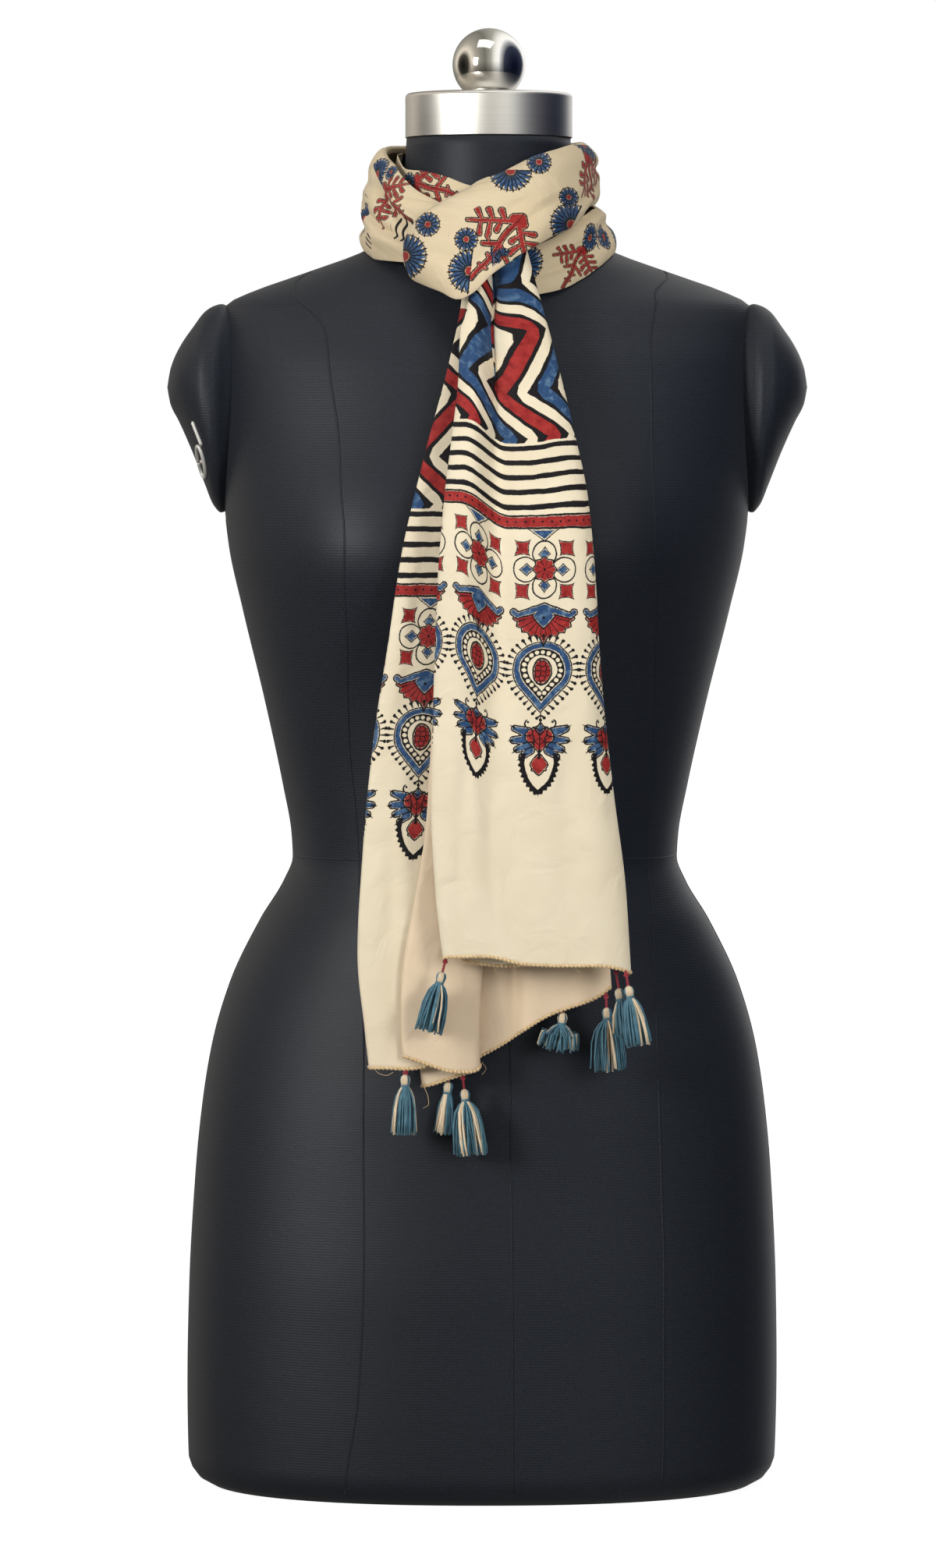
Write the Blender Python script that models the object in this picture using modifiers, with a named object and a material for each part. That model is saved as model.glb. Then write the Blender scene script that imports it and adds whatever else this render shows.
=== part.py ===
"""A printed stole looped round the neck of a limbless dress form.

The stole is folded in half and laid round the neck. Its two tails pass through the fold, which makes
the knot, and hang down the front. The form stands on its flat underside.
Lengths in the tables are millimetres. Angles are degrees round the neck, with 0 at the front, 90 at
the side that a viewer sees on the right, 180 at the nape and 270 at the left.
"""

import math
from collections import namedtuple

import bmesh
import bpy
from mathutils import Matrix, Vector

MM = 0.001

# Driving dimensions of the form.
NECK_TOP = 768.8  # height of the fabric-covered neck
LEAN = 0.0052  # how far the form leans to the side for each mm above or below its middle
MIDDLE = 400.0
FORM_SEGMENTS = 36
BUST = {"height": 535.0, "out_to": 70.0, "rise": 20.0, "spread_x": 38.0, "spread_z": 42.0}
GAP = 0.35  # between pieces that rest on each other

# Metal parts of the form.
CAP = {"radius": 47.6, "bottom": NECK_TOP + GAP, "height": 25.5, "edge": 2.5}
BALL = {"radius": 20.7, "foot": 13.0}

# Driving dimensions of the stole.
WALL = 1.2  # thickness of the cloth wall
CLEAR = 1.15 * (GAP + WALL / 2)  # from a wall's middle to the form, with a little over for its facets
EDGE_TURN = 12.0  # degrees that a band's edge turns in past square, for each mm deeper than EDGE_PLAIN
EDGE_PLAIN = 4.5
TAIL_GAP = 0.5  # between the two tails


# ---- Smooth curves through the rows of a table ----

def read(rows, column, at):
    """The value of a column at a place between rows: a smooth curve that never overshoots its rows."""
    key = rows[0]._fields[0]
    order = sorted(rows, key=lambda row: getattr(row, key))
    places = [getattr(row, key) for row in order]
    values = [getattr(row, column) for row in order]
    if at <= places[0]:
        return values[0]
    if at >= places[-1]:
        return values[-1]
    i = max(k for k in range(len(places) - 1) if places[k] <= at)
    slopes = [
        (values[k + 1] - values[k]) / (places[k + 1] - places[k]) for k in range(len(places) - 1)
    ]

    def tangent(k):
        if k == 0 or k == len(slopes):
            return slopes[min(k, len(slopes) - 1)]
        before, after = slopes[k - 1], slopes[k]
        return 0.0 if before * after <= 0 else 2 * before * after / (before + after)

    span = places[i + 1] - places[i]
    t = (at - places[i]) / span
    return (
        (2 * t**3 - 3 * t**2 + 1) * values[i]
        + (t**3 - 2 * t**2 + t) * span * tangent(i)
        + (3 * t**2 - 2 * t**3) * values[i + 1]
        + (t**3 - t**2) * span * tangent(i + 1)
    )


def smooth_step(share):
    share = min(max(share, 0.0), 1.0)
    return share * share * (3 - 2 * share)


def bell(distance, spread):
    return math.exp(-(distance**2) / (2 * spread**2))


# ---- Objects ----

def material(name, colour, roughness, metallic=0.0):
    made = bpy.data.materials.new(name)
    made.use_nodes = True
    shader = made.node_tree.nodes["Principled BSDF"]
    shader.inputs["Base Color"].default_value = (*colour, 1.0)
    shader.inputs["Roughness"].default_value = roughness
    shader.inputs["Metallic"].default_value = metallic
    return made


def add_object(name, bm, look, collection):
    mesh = bpy.data.meshes.new(name)
    bm.to_mesh(mesh)
    bm.free()
    mesh.materials.append(look)
    mesh.shade_smooth()
    made = bpy.data.objects.new(name, mesh)
    collection.objects.link(made)
    return made


def rounded_solid(name, segments, rings, place, look, collection):
    """A closed form: a sphere whose point at (degrees round, ring number) moves to place(...)."""
    bm = bmesh.new()
    bmesh.ops.create_uvsphere(bm, u_segments=segments, v_segments=rings, radius=1.0)
    for vertex in bm.verts:
        ring = round(math.acos(max(-1.0, min(1.0, vertex.co.z))) / math.pi * rings)
        turn = math.degrees(math.atan2(vertex.co.y, vertex.co.x)) + 90.0
        vertex.co = Vector(place(turn, ring)) * MM
    return add_object(name, bm, look, collection)


def cloth_wall(name, along, across, place, look, collection):
    """A sheet of cloth as a thin wall: a grid whose point in each column and row moves to place(...)."""
    bm = bmesh.new()
    bmesh.ops.create_grid(bm, x_segments=along, y_segments=across, size=1.0)
    for vertex in bm.verts:
        column = round((vertex.co.x + 1) / 2 * along)
        row = round((vertex.co.y + 1) / 2 * across)
        vertex.co = Vector(place(column, row)) * MM
    made = add_object(name, bm, look, collection)
    wall = made.modifiers.new("Wall", "SOLIDIFY")
    wall.thickness = WALL * MM
    wall.offset = 0.0
    return made


def turned(name, profile, steps, look, collection, centre_x):
    """A lathe-turned piece. The profile runs from the axis at the top, down its outer side, to the axis."""
    bm = bmesh.new()
    points = [bm.verts.new((radius * MM, 0.0, height * MM)) for radius, height in profile]
    for first, second in zip(points, points[1:]):
        bm.edges.new((first, second))
    made = add_object(name, bm, look, collection)
    made.location = (centre_x * MM, 0.0, 0.0)
    spin = made.modifiers.new("Turn", "SCREW")
    spin.axis = "Z"
    spin.steps = steps
    spin.render_steps = steps
    spin.use_merge_vertices = True
    spin.merge_threshold = 0.00001
    return made


# ---- The dress form ----

Level = namedtuple("Level", "height half_width front back fullness")
TORSO = [
    Level(0.0, 156.0, 100.0, 100.0, 2.3),
    Level(4.0, 163.0, 106.5, 106.5, 2.3),
    Level(14.0, 168.5, 111.0, 111.0, 2.3),
    Level(60.0, 169.3, 112.0, 113.0, 2.3),
    Level(110.0, 168.5, 112.0, 114.0, 2.3),
    Level(180.0, 164.8, 108.0, 108.0, 2.25),
    Level(216.0, 161.3, 106.0, 102.0, 2.2),
    Level(251.0, 155.8, 103.0, 94.0, 2.15),
    Level(287.0, 145.5, 99.0, 84.0, 2.1),
    Level(323.0, 128.3, 94.0, 75.0, 2.1),
    Level(345.0, 115.0, 90.0, 70.0, 2.1),
    Level(359.0, 109.8, 88.0, 68.0, 2.1),
    Level(372.0, 110.5, 88.5, 68.0, 2.1),
    Level(400.0, 115.5, 91.0, 71.0, 2.1),
    Level(448.0, 126.0, 98.0, 79.0, 2.2),
    Level(501.0, 139.0, 108.0, 88.0, 2.25),
    Level(537.0, 147.0, 112.0, 93.0, 2.3),
    Level(560.0, 149.5, 110.0, 95.0, 2.3),
    Level(600.0, 151.0, 100.0, 97.0, 2.3),
    Level(640.0, 151.5, 88.0, 96.0, 2.2),
    Level(662.0, 151.5, 78.0, 92.0, 2.0),
    Level(674.0, 149.5, 72.0, 87.0, 1.85),
    Level(681.0, 137.0, 68.5, 83.0, 1.75),
    Level(689.0, 115.0, 65.0, 77.0, 1.7),
    Level(697.0, 92.0, 62.0, 70.0, 1.75),
    Level(704.0, 73.0, 59.0, 64.0, 1.85),
    Level(712.0, 60.0, 56.0, 58.0, 1.95),
    Level(724.0, 51.5, 53.0, 54.0, 2.0),
    Level(740.0, 48.5, 51.0, 50.5, 2.0),
    Level(NECK_TOP, 46.8, 49.0, 47.0, 2.0),
]


def ring_radius(turn, level):
    """How far a ring of the form lies from the neck's axis in this direction."""
    side, ahead = math.sin(math.radians(turn)), math.cos(math.radians(turn))
    depth = level.front if ahead > 0 else level.back
    power = level.fullness
    radius = (abs(side / level.half_width) ** power + abs(ahead / depth) ** power) ** (-1 / power)
    if ahead > 0:
        lobe = bell(radius * abs(side) - BUST["out_to"], BUST["spread_x"])
        radius += BUST["rise"] * ahead * lobe * bell(level.height - BUST["height"], BUST["spread_z"])
    return radius


def form_radius(turn, height):
    """The same at any height: straight between the rings, as the form's faces are."""
    above = next((k for k, level in enumerate(TORSO) if level.height >= height), len(TORSO) - 1)
    low, high = TORSO[max(above - 1, 0)], TORSO[above]
    share = (height - low.height) / (high.height - low.height) if high.height > low.height else 0.0
    return ring_radius(turn, low) * (1 - min(share, 1.0)) + ring_radius(turn, high) * min(share, 1.0)


def clear_of_form(turn, spot):
    """Moves a point (radius, height) straight out of the form's skin until the wall round it is clear."""
    for _ in range(3):
        skin = form_radius(turn, spot.y)
        slope = (form_radius(turn, spot.y + 2.0) - form_radius(turn, spot.y - 2.0)) / 4.0
        steepness = math.hypot(1.0, slope)
        short = CLEAR - (spot.x - skin) / steepness
        if short > 0:
            spot = spot + Vector((1.0, -slope)) / steepness * short
    return spot


def lean(height):
    return LEAN * (height - MIDDLE)


def on_circle(turn, radius, height):
    angle = math.radians(turn)
    return (lean(height) + radius * math.sin(angle), -radius * math.cos(angle), height)


def torso_point(turn, ring):
    """The rings run from the neck's top to the underside; the first and last are the flat ends' centres."""
    if ring == 0:
        return on_circle(turn, 0.0, NECK_TOP)
    if ring == len(TORSO) + 1:
        return on_circle(turn, 0.0, 0.0)
    level = TORSO[len(TORSO) - ring]
    return on_circle(turn, ring_radius(turn, level), level.height)


Disc = namedtuple("Disc", "out low high half_depth")
SHOULDER_PAD = [
    Disc(151.85, 556.0, 675.0, 44.0),
    Disc(156.0, 560.0, 674.0, 45.0),
    Disc(161.0, 572.0, 671.0, 43.0),
    Disc(168.0, 590.0, 662.0, 36.0),
    Disc(176.0, 608.0, 650.0, 25.0),
    Disc(181.0, 618.0, 638.0, 12.0),
]
PAD_TIP = (182.8, 627.5)


def pad_point(side):
    """The stub that closes each armhole: upright ovals from the armhole out to the tip."""
    def place(turn, ring):
        if ring == 0:
            out, height, depth = SHOULDER_PAD[0].out, 615.5, 0.0
        elif ring == len(SHOULDER_PAD) + 1:
            out, height, depth = PAD_TIP[0], PAD_TIP[1], 0.0
        else:
            disc = SHOULDER_PAD[ring - 1]
            angle = math.radians(turn)
            out = disc.out
            height = (disc.low + disc.high) / 2 + (disc.high - disc.low) / 2 * math.cos(angle)
            depth = disc.half_depth * math.sin(angle) * side
        return (out * side + lean(height), depth, height)
    return place


def arc(centre, radius, start, end, steps):
    """Points (radius, height) on a circle in a turned piece's profile; 90 degrees is straight up."""
    turns = [math.radians(start + (end - start) * k / steps) for k in range(steps + 1)]
    return [(centre[0] + radius * math.cos(t), centre[1] + radius * math.sin(t)) for t in turns]


def build_form(collection):
    jersey = material("black_jersey", (0.012, 0.013, 0.016), 0.8)
    steel = material("brushed_steel", (0.62, 0.60, 0.57), 0.32, 1.0)
    chrome = material("chrome", (0.72, 0.72, 0.74), 0.08, 1.0)
    rounded_solid("form_torso", FORM_SEGMENTS, len(TORSO) + 1, torso_point, jersey, collection)
    for name, side in (("form_shoulder_left", -1), ("form_shoulder_right", 1)):
        rounded_solid(name, 20, len(SHOULDER_PAD) + 1, pad_point(side), jersey, collection)
    top = CAP["bottom"] + CAP["height"]
    edge = CAP["edge"]
    rim = arc((CAP["radius"] - edge, top - edge), edge, 90, 0, 3)
    cap_profile = [(0.0, top), *rim, (CAP["radius"], CAP["bottom"]), (0.0, CAP["bottom"])]
    turned("form_neck_cap", cap_profile, 40, steel, collection, lean(top))
    foot = top + GAP
    rise = math.sqrt(BALL["radius"] ** 2 - BALL["foot"] ** 2)
    underneath = -math.degrees(math.atan(rise / BALL["foot"]))
    round_side = arc((0.0, foot + rise), BALL["radius"], 90, underneath, 10)
    turned("form_finial", [*round_side, (0.0, foot)], 28, chrome, collection, lean(top))


# ---- The stole round the neck ----

# Each row is the band's section at one angle. The outer face runs from its top edge to its low edge,
# bulges outwards between them, and both edges turn in behind it by the depth.
Section = namedtuple("Section", "turn top_radius top low_radius low bulge depth")
WRAP = [
    Section(130.5, 56.0, 766.5, 70.0, 712.0, 5.0, 7.0),
    Section(155.0, 57.0, 767.5, 71.0, 713.0, 6.0, 8.0),
    Section(180.0, 58.0, 768.0, 72.0, 714.0, 6.0, 8.0),
    Section(215.0, 60.0, 767.5, 72.0, 711.0, 5.0, 8.0),
    Section(250.0, 63.0, 766.0, 72.5, 707.5, 4.0, 7.5),
    Section(272.0, 64.0, 762.5, 73.5, 707.5, 3.5, 6.0),
    Section(290.0, 61.5, 755.5, 75.5, 703.5, 5.0, 4.0),
    Section(305.0, 60.5, 747.0, 76.5, 699.0, 6.0, 3.5),
    Section(320.0, 61.5, 738.0, 80.0, 697.0, 5.0, 3.0),
    Section(335.0, 63.5, 731.0, 83.0, 696.0, 3.0, 3.0),
    Section(344.0, 66.0, 725.0, 84.0, 704.0, 2.0, 3.0),
]
INNER_COLLAR = [
    Section(297.0, 51.5, 755.5, 56.0, 716.0, 0.5, 0.4),
    Section(316.0, 51.5, 753.5, 56.5, 716.0, 0.5, 0.4),
    Section(332.0, 51.5, 750.0, 57.0, 715.0, 0.5, 0.4),
    Section(347.0, 51.5, 744.5, 57.0, 714.0, 0.5, 0.4),
    Section(368.0, 51.5, 740.0, 57.0, 713.0, 0.5, 0.4),
]
FRONT_BAND = [
    Section(130.0, 55.0, 767.5, 64.0, 740.0, 4.5, 6.0),
    Section(110.0, 54.5, 768.0, 63.5, 735.5, 4.5, 6.0),
    Section(90.0, 55.0, 767.5, 62.5, 732.0, 4.0, 6.0),
    Section(70.0, 56.5, 766.0, 64.0, 730.5, 4.0, 6.0),
    Section(55.0, 58.5, 764.5, 68.5, 727.0, 4.5, 6.0),
    Section(43.0, 61.0, 762.5, 77.0, 721.0, 5.5, 6.0),
    Section(25.0, 64.0, 758.0, 95.0, 714.5, 7.0, 5.0),
    Section(15.0, 65.0, 753.0, 104.0, 707.0, 8.0, 4.5),
    Section(8.0, 66.0, 749.0, 107.5, 699.0, 8.0, 4.0),
    Section(1.0, 67.0, 746.0, 109.0, 690.0, 8.5, 4.0),
    Section(-5.0, 69.0, 743.0, 109.0, 679.0, 9.5, 4.0),
    Section(-9.0, 71.0, 739.5, 108.0, 676.0, 10.0, 4.0),
    Section(-15.0, 75.0, 735.0, 104.5, 681.0, 10.0, 4.5),
    Section(-22.0, 81.0, 729.0, 99.0, 685.0, 8.0, 5.0),
    Section(-28.0, 86.0, 721.0, 93.0, 688.0, 5.0, 5.0),
    Section(-32.0, 87.0, 712.0, 88.0, 694.0, 2.0, 4.0),
]
UNDER_BAND = [
    Section(130.0, 63.5, 738.0, 71.0, 713.0, 4.0, 5.0),
    Section(110.0, 63.0, 733.6, 72.0, 708.0, 3.0, 5.0),
    Section(90.0, 62.0, 730.0, 73.0, 707.0, 2.5, 4.0),
    Section(70.0, 63.0, 728.4, 75.5, 701.5, 3.0, 3.0),
    Section(55.0, 66.0, 725.0, 77.0, 694.0, 4.0, 2.5),
    Section(42.0, 69.0, 719.0, 77.5, 686.5, 3.0, 3.0),
    Section(30.0, 72.0, 711.0, 78.5, 681.0, 2.0, 3.0),
    Section(18.0, 72.5, 705.0, 78.0, 678.0, 1.5, 3.0),
    Section(6.0, 72.5, 700.0, 77.5, 676.0, 1.0, 3.0),
    Section(-6.0, 72.5, 698.0, 77.0, 675.0, 1.0, 3.0),
]

# Long folds in a band's face: where each one starts and ends along the band, how far down the face it
# runs there, and how much it stands out (or sinks in).
Fold = namedtuple("Fold", "start end down_at_start down_at_end rise spread")
WRAP_FOLDS = [
    Fold(95.0, 205.0, 0.53, 0.48, -5.0, 0.09),
    Fold(131.0, 262.0, 0.30, 0.42, 2.2, 0.09),
    Fold(150.0, 340.0, 0.78, 0.62, -2.4, 0.07),
    Fold(225.0, 330.0, 0.34, 0.30, -2.0, 0.06),
]
FRONT_FOLDS = [
    Fold(128.0, 20.0, 0.30, 0.24, 1.6, 0.10),
    Fold(100.0, 5.0, 0.72, 0.80, -2.0, 0.07),
]
UNDER_FOLDS = [
    Fold(125.0, 20.0, 0.42, 0.40, -2.2, 0.10),
]


def fold_rise(folds, turn, down):
    total = 0.0
    for fold in folds:
        share = (turn - fold.start) / (fold.end - fold.start)
        if 0.0 < share < 1.0:
            middle = fold.down_at_start + (fold.down_at_end - fold.down_at_start) * share
            total += fold.rise * math.sin(math.pi * share) * bell(down - middle, fold.spread)
    return total


def rounded_step(value):
    return math.copysign(abs(value) ** 0.65, value)


def band_point(rows, folds, steps_along, steps_across):
    """A band's points, in columns along its table and rows from the upper turned-in edge to the lower."""
    first, last = rows[0].turn, rows[-1].turn

    def place(column, row):
        turn = first + (last - first) * column / steps_along
        across = row / steps_across
        section = {column: read(rows, column, turn) for column in rows[0]._fields[1:]}
        edge = 90 + EDGE_TURN * (section["depth"] - EDGE_PLAIN)
        angle = math.radians(edge * (1 - 2 * across))
        down = 0.5 - 0.5 * rounded_step(math.sin(angle))
        run = Vector((section["low_radius"] - section["top_radius"], section["low"] - section["top"]))
        outward = Vector((-run.y, run.x)).normalized()
        out = section["bulge"] * (1 - abs(2 * down - 1) ** 3)
        out += section["depth"] / 2 * (rounded_step(math.cos(angle)) - 1)
        if math.cos(angle) > 0:
            out += fold_rise(folds, turn, down)
        spot = Vector((section["top_radius"], section["top"])) + run * down + outward * out
        return on_circle(turn, *clear_of_form(turn, spot))
    return place


# ---- The two tails ----

Outline = namedtuple("Outline", "height left right")
FRONT_OUTLINE = [
    Outline(706.0, -8.0, 22.0),
    Outline(678.0, -9.0, 29.5),
    Outline(658.0, -13.8, 35.0),
    Outline(630.0, -15.0, 42.0),
    Outline(600.0, -18.4, 49.0),
    Outline(566.0, -22.6, 55.8),
    Outline(520.0, -26.2, 60.0),
    Outline(480.0, -27.8, 62.3),
    Outline(440.0, -29.0, 65.8),
    Outline(400.0, -30.0, 70.5),
    Outline(353.0, -27.8, 76.6),
    Outline(304.0, -22.5, 79.8),
]
REAR_OUTLINE = [
    Outline(706.0, -10.0, 19.0),
    Outline(674.0, -13.5, 26.0),
    Outline(638.0, -21.0, 33.0),
    Outline(588.0, -34.3, 42.0),
    Outline(534.0, -46.8, 50.0),
    Outline(486.0, -54.1, 54.0),
    Outline(432.0, -62.4, 58.0),
    Outline(371.0, -68.4, 63.0),
    Outline(313.0, -71.5, 68.5),
    Outline(269.0, -67.4, 71.0),
    Outline(238.0, -64.0, 71.0),
]

# How far in front of the neck's axis the back of the rear tail hangs, and how full the folds are there.
Hang = namedtuple("Hang", "height back fullness")
HANG = [
    Hang(706.0, 77.9, 0.56),
    Hang(676.0, 78.6, 0.61),
    Hang(660.0, 82.5, 0.67),
    Hang(640.0, 91.0, 0.74),
    Hang(620.0, 99.0, 0.81),
    Hang(600.0, 107.5, 0.88),
    Hang(570.0, 118.5, 0.95),
    Hang(540.0, 125.5, 1.0),
    Hang(500.0, 127.0, 1.0),
    Hang(430.0, 125.0, 1.0),
    Hang(350.0, 122.0, 1.0),
    Hang(238.0, 119.0, 1.0),
]

# Lines that run down each tail, in their order across the cloth. across is 0 at the tail's left outline
# and 1 at its right, and turns into across_hem towards the hem; layer is the depth behind the tail's
# front face; hem is the height where the cloth ends.
Line = namedtuple("Line", "cloth across across_hem layer hem")
FRONT_LINES = [
    Line(0.0, 0.010, 0.010, 8.0, 313.0),
    Line(6.0, 0.000, 0.000, 3.2, 313.0),
    Line(14.0, 0.060, 0.060, 0.4, 313.6),
    Line(32.0, 0.230, 0.230, 0.0, 313.8),
    Line(54.0, 0.440, 0.440, 0.4, 309.5),
    Line(76.0, 0.650, 0.650, 0.0, 308.6),
    Line(94.0, 0.830, 0.830, 0.9, 308.6),
    Line(106.0, 0.945, 0.945, 4.0, 306.5),
    Line(114.0, 1.000, 1.000, 9.0, 304.2),
    Line(120.0, 0.985, 0.985, 13.5, 305.0),
    Line(131.0, 0.890, 0.890, 15.6, 307.5),
    Line(160.0, 0.600, 0.600, 14.4, 308.5),
    Line(188.0, 0.320, 0.320, 13.8, 307.6),
    Line(205.0, 0.150, 0.150, 14.0, 309.5),
    Line(211.0, 0.105, 0.105, 16.4, 311.0),
    Line(216.0, 0.150, 0.150, 18.8, 311.0),
    Line(236.0, 0.350, 0.350, 19.6, 310.0),
    Line(266.0, 0.650, 0.650, 19.4, 311.0),
    Line(290.0, 0.900, 0.900, 19.0, 311.0),
]
FRONT_DEPTH = 19.6
REAR_LINES = [
    Line(0.0, 0.400, 0.330, 10.4, 256.0),
    Line(26.0, 0.220, 0.200, 10.5, 254.0),
    Line(50.0, 0.055, 0.055, 10.6, 251.0),
    Line(57.0, 0.005, 0.005, 9.0, 250.0),
    Line(61.0, 0.010, 0.010, 7.0, 249.5),
    Line(70.0, 0.080, 0.075, 6.0, 249.5),
    Line(88.0, 0.200, 0.150, 6.2, 249.0),
    Line(104.0, 0.330, 0.225, 6.3, 250.0),
    Line(108.0, 0.352, 0.242, 4.9, 251.5),
    Line(112.0, 0.330, 0.225, 3.4, 253.0),
    Line(119.0, 0.290, 0.180, 3.1, 255.0),
    Line(124.0, 0.270, 0.148, 1.6, 256.5),
    Line(129.0, 0.290, 0.165, 0.1, 256.0),
    Line(147.0, 0.380, 0.270, 0.0, 251.0),
    Line(157.0, 0.445, 0.345, 0.6, 248.0),
    Line(169.0, 0.530, 0.410, 3.6, 247.5),
    Line(178.0, 0.590, 0.450, 7.0, 249.0),
    Line(182.0, 0.600, 0.457, 9.6, 251.0),
    Line(187.0, 0.580, 0.440, 12.6, 248.5),
    Line(201.0, 0.460, 0.330, 13.8, 243.0),
    Line(213.0, 0.375, 0.235, 14.3, 239.0),
    Line(218.0, 0.350, 0.212, 15.9, 238.5),
    Line(223.0, 0.375, 0.235, 17.6, 240.0),
    Line(262.0, 0.620, 0.540, 17.3, 261.0),
    Line(288.0, 0.770, 0.740, 16.6, 278.0),
    Line(312.0, 0.940, 0.930, 16.8, 287.5),
    Line(322.0, 1.000, 1.000, 17.4, 294.0),
]
REAR_DEPTH = 17.6
PULL = {"from": 400.0, "to": 255.0}  # heights between which across turns into across_hem
WIDE = 17.0  # lines farther apart than this get another between them
# Heights of a tail's rows from the knot down, closer together where the chest curves. The rows below
# the last one spread evenly down to the hem.
LEVELS = [706.0, 690.0, 675.0, 662.0, 650.0, 638.0, 624.0, 606.0, 586.0, 562.0, 530.0, 480.0, 420.0, 355.0]

# Soft hollows down a tail's front panel: across at the top and where it fades out, and how deep it is.
Hollow = namedtuple("Hollow", "top bottom across_top across_bottom depth spread")
FRONT_HOLLOWS = [
    Hollow(706.0, 570.0, 0.43, 0.24, 8.0, 0.075),
    Hollow(706.0, 560.0, 0.80, 0.88, 1.6, 0.07),
]


def hollow_depth(hollows, across, height):
    total = 0.0
    for hollow in hollows:
        share = (hollow.top - height) / (hollow.top - hollow.bottom)
        if 0.0 <= share < 1.0:
            middle = hollow.across_top + (hollow.across_bottom - hollow.across_top) * share
            fade = math.cos(math.pi / 2 * share) ** 1.3
            total += hollow.depth * fade * bell(across - middle, hollow.spread)
    return total


def cloth_columns(lines):
    """Every line down the cloth, and one more between two that lie far apart."""
    columns = [lines[0].cloth]
    for before, after in zip(lines, lines[1:]):
        if after.cloth - before.cloth > WIDE:
            columns.append((before.cloth + after.cloth) / 2)
        columns.append(after.cloth)
    return columns


def tail_point(lines, outline, hollows, ahead, columns, hem_rows):
    """A tail's points, in columns across the cloth and rows from the knot to the hem."""
    def place(column, row):
        at = columns[column]
        past = max(row - (len(LEVELS) - 1), 0) / hem_rows
        height = LEVELS[min(row, len(LEVELS) - 1)]
        height += (read(lines, "hem", at) - height) * past
        pulled = smooth_step((PULL["from"] - height) / (PULL["from"] - PULL["to"]))
        across = read(lines, "across", at) * (1 - pulled) + read(lines, "across_hem", at) * pulled
        layer = read(lines, "layer", at)
        left = read(outline, "left", height)
        right = read(outline, "right", height)
        if layer < 3.0:
            layer += hollow_depth(hollows, across, height)
        fullness = read(HANG, "fullness", height)
        front = read(HANG, "back", height) + ahead(fullness)
        return (left + (right - left) * across, -(front - layer * fullness), height)
    return place


def rear_ahead(fullness):
    return REAR_DEPTH * fullness


def front_ahead(fullness):
    return (REAR_DEPTH + FRONT_DEPTH) * fullness + WALL + TAIL_GAP


def build_stole(collection):
    cloth = material("printed_stole", (0.80, 0.66, 0.47), 0.62)
    bands = [
        ("stole_wrap", 30, 14, WRAP, WRAP_FOLDS),
        ("stole_inner_collar", 10, 8, INNER_COLLAR, []),
        ("stole_front_band", 26, 14, FRONT_BAND, FRONT_FOLDS),
        ("stole_under_band", 16, 10, UNDER_BAND, UNDER_FOLDS),
    ]
    for name, along, across, rows, folds in bands:
        place = band_point(rows, folds, along, across)
        cloth_wall(name, along, across, place, cloth, collection)
    tails = [
        ("stole_front_tail", FRONT_LINES, FRONT_OUTLINE, FRONT_HOLLOWS, front_ahead, 2),
        ("stole_rear_tail", REAR_LINES, REAR_OUTLINE, [], rear_ahead, 3),
    ]
    for name, lines, outline, hollows, ahead, hem_rows in tails:
        columns = cloth_columns(lines)
        place = tail_point(lines, outline, hollows, ahead, columns, hem_rows)
        cloth_wall(name, len(columns) - 1, len(LEVELS) - 1 + hem_rows, place, cloth, collection)


# ---- Tassels ----

# Where each tassel's cord leaves the hem, where the middle of its foot hangs, how long its cord is and
# how far its strands spread at the foot.
Tassel = namedtuple("Tassel", "name x y z foot_x foot_y foot_z cord spread")
TASSELS = [
    Tassel("tassel_front_left", -22.0, -155.4, 312.4, -32.1, -152.0, 272.6, 8.0, 6.2),
    Tassel("tassel_front_right", 77.0, -155.2, 304.9, 83.8, -156.0, 264.8, 8.0, 6.2),
    Tassel("tassel_front_inner", 71.7, -146.0, 305.7, 77.0, -144.0, 269.8, 11.0, 5.0),
    Tassel("tassel_rear_left", -44.5, -130.5, 248.6, -45.7, -130.5, 213.0, 3.0, 6.0),
    Tassel("tassel_rear_middle", -12.8, -123.2, 244.8, -8.1, -124.5, 200.8, 8.0, 9.2),
    Tassel("tassel_rear_inner", -20.3, -119.3, 244.6, -23.6, -118.0, 211.9, 4.0, 4.0),
    Tassel("tassel_rear_right", 66.8, -121.0, 290.0, 68.8, -121.0, 247.6, 8.0, 8.8),
    Tassel("tassel_rear_behind", 43.5, -118.9, 283.0, 40.5, -116.0, 259.5, 4.0, 6.5),
]
HEAD = {"radius": 2.7, "half_height": 3.0, "around": 8, "rings": 6}
OUTER_ROOT = 0.68  # how far the outer strands' roots lie from the head's axis, as a share of its radius


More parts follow.
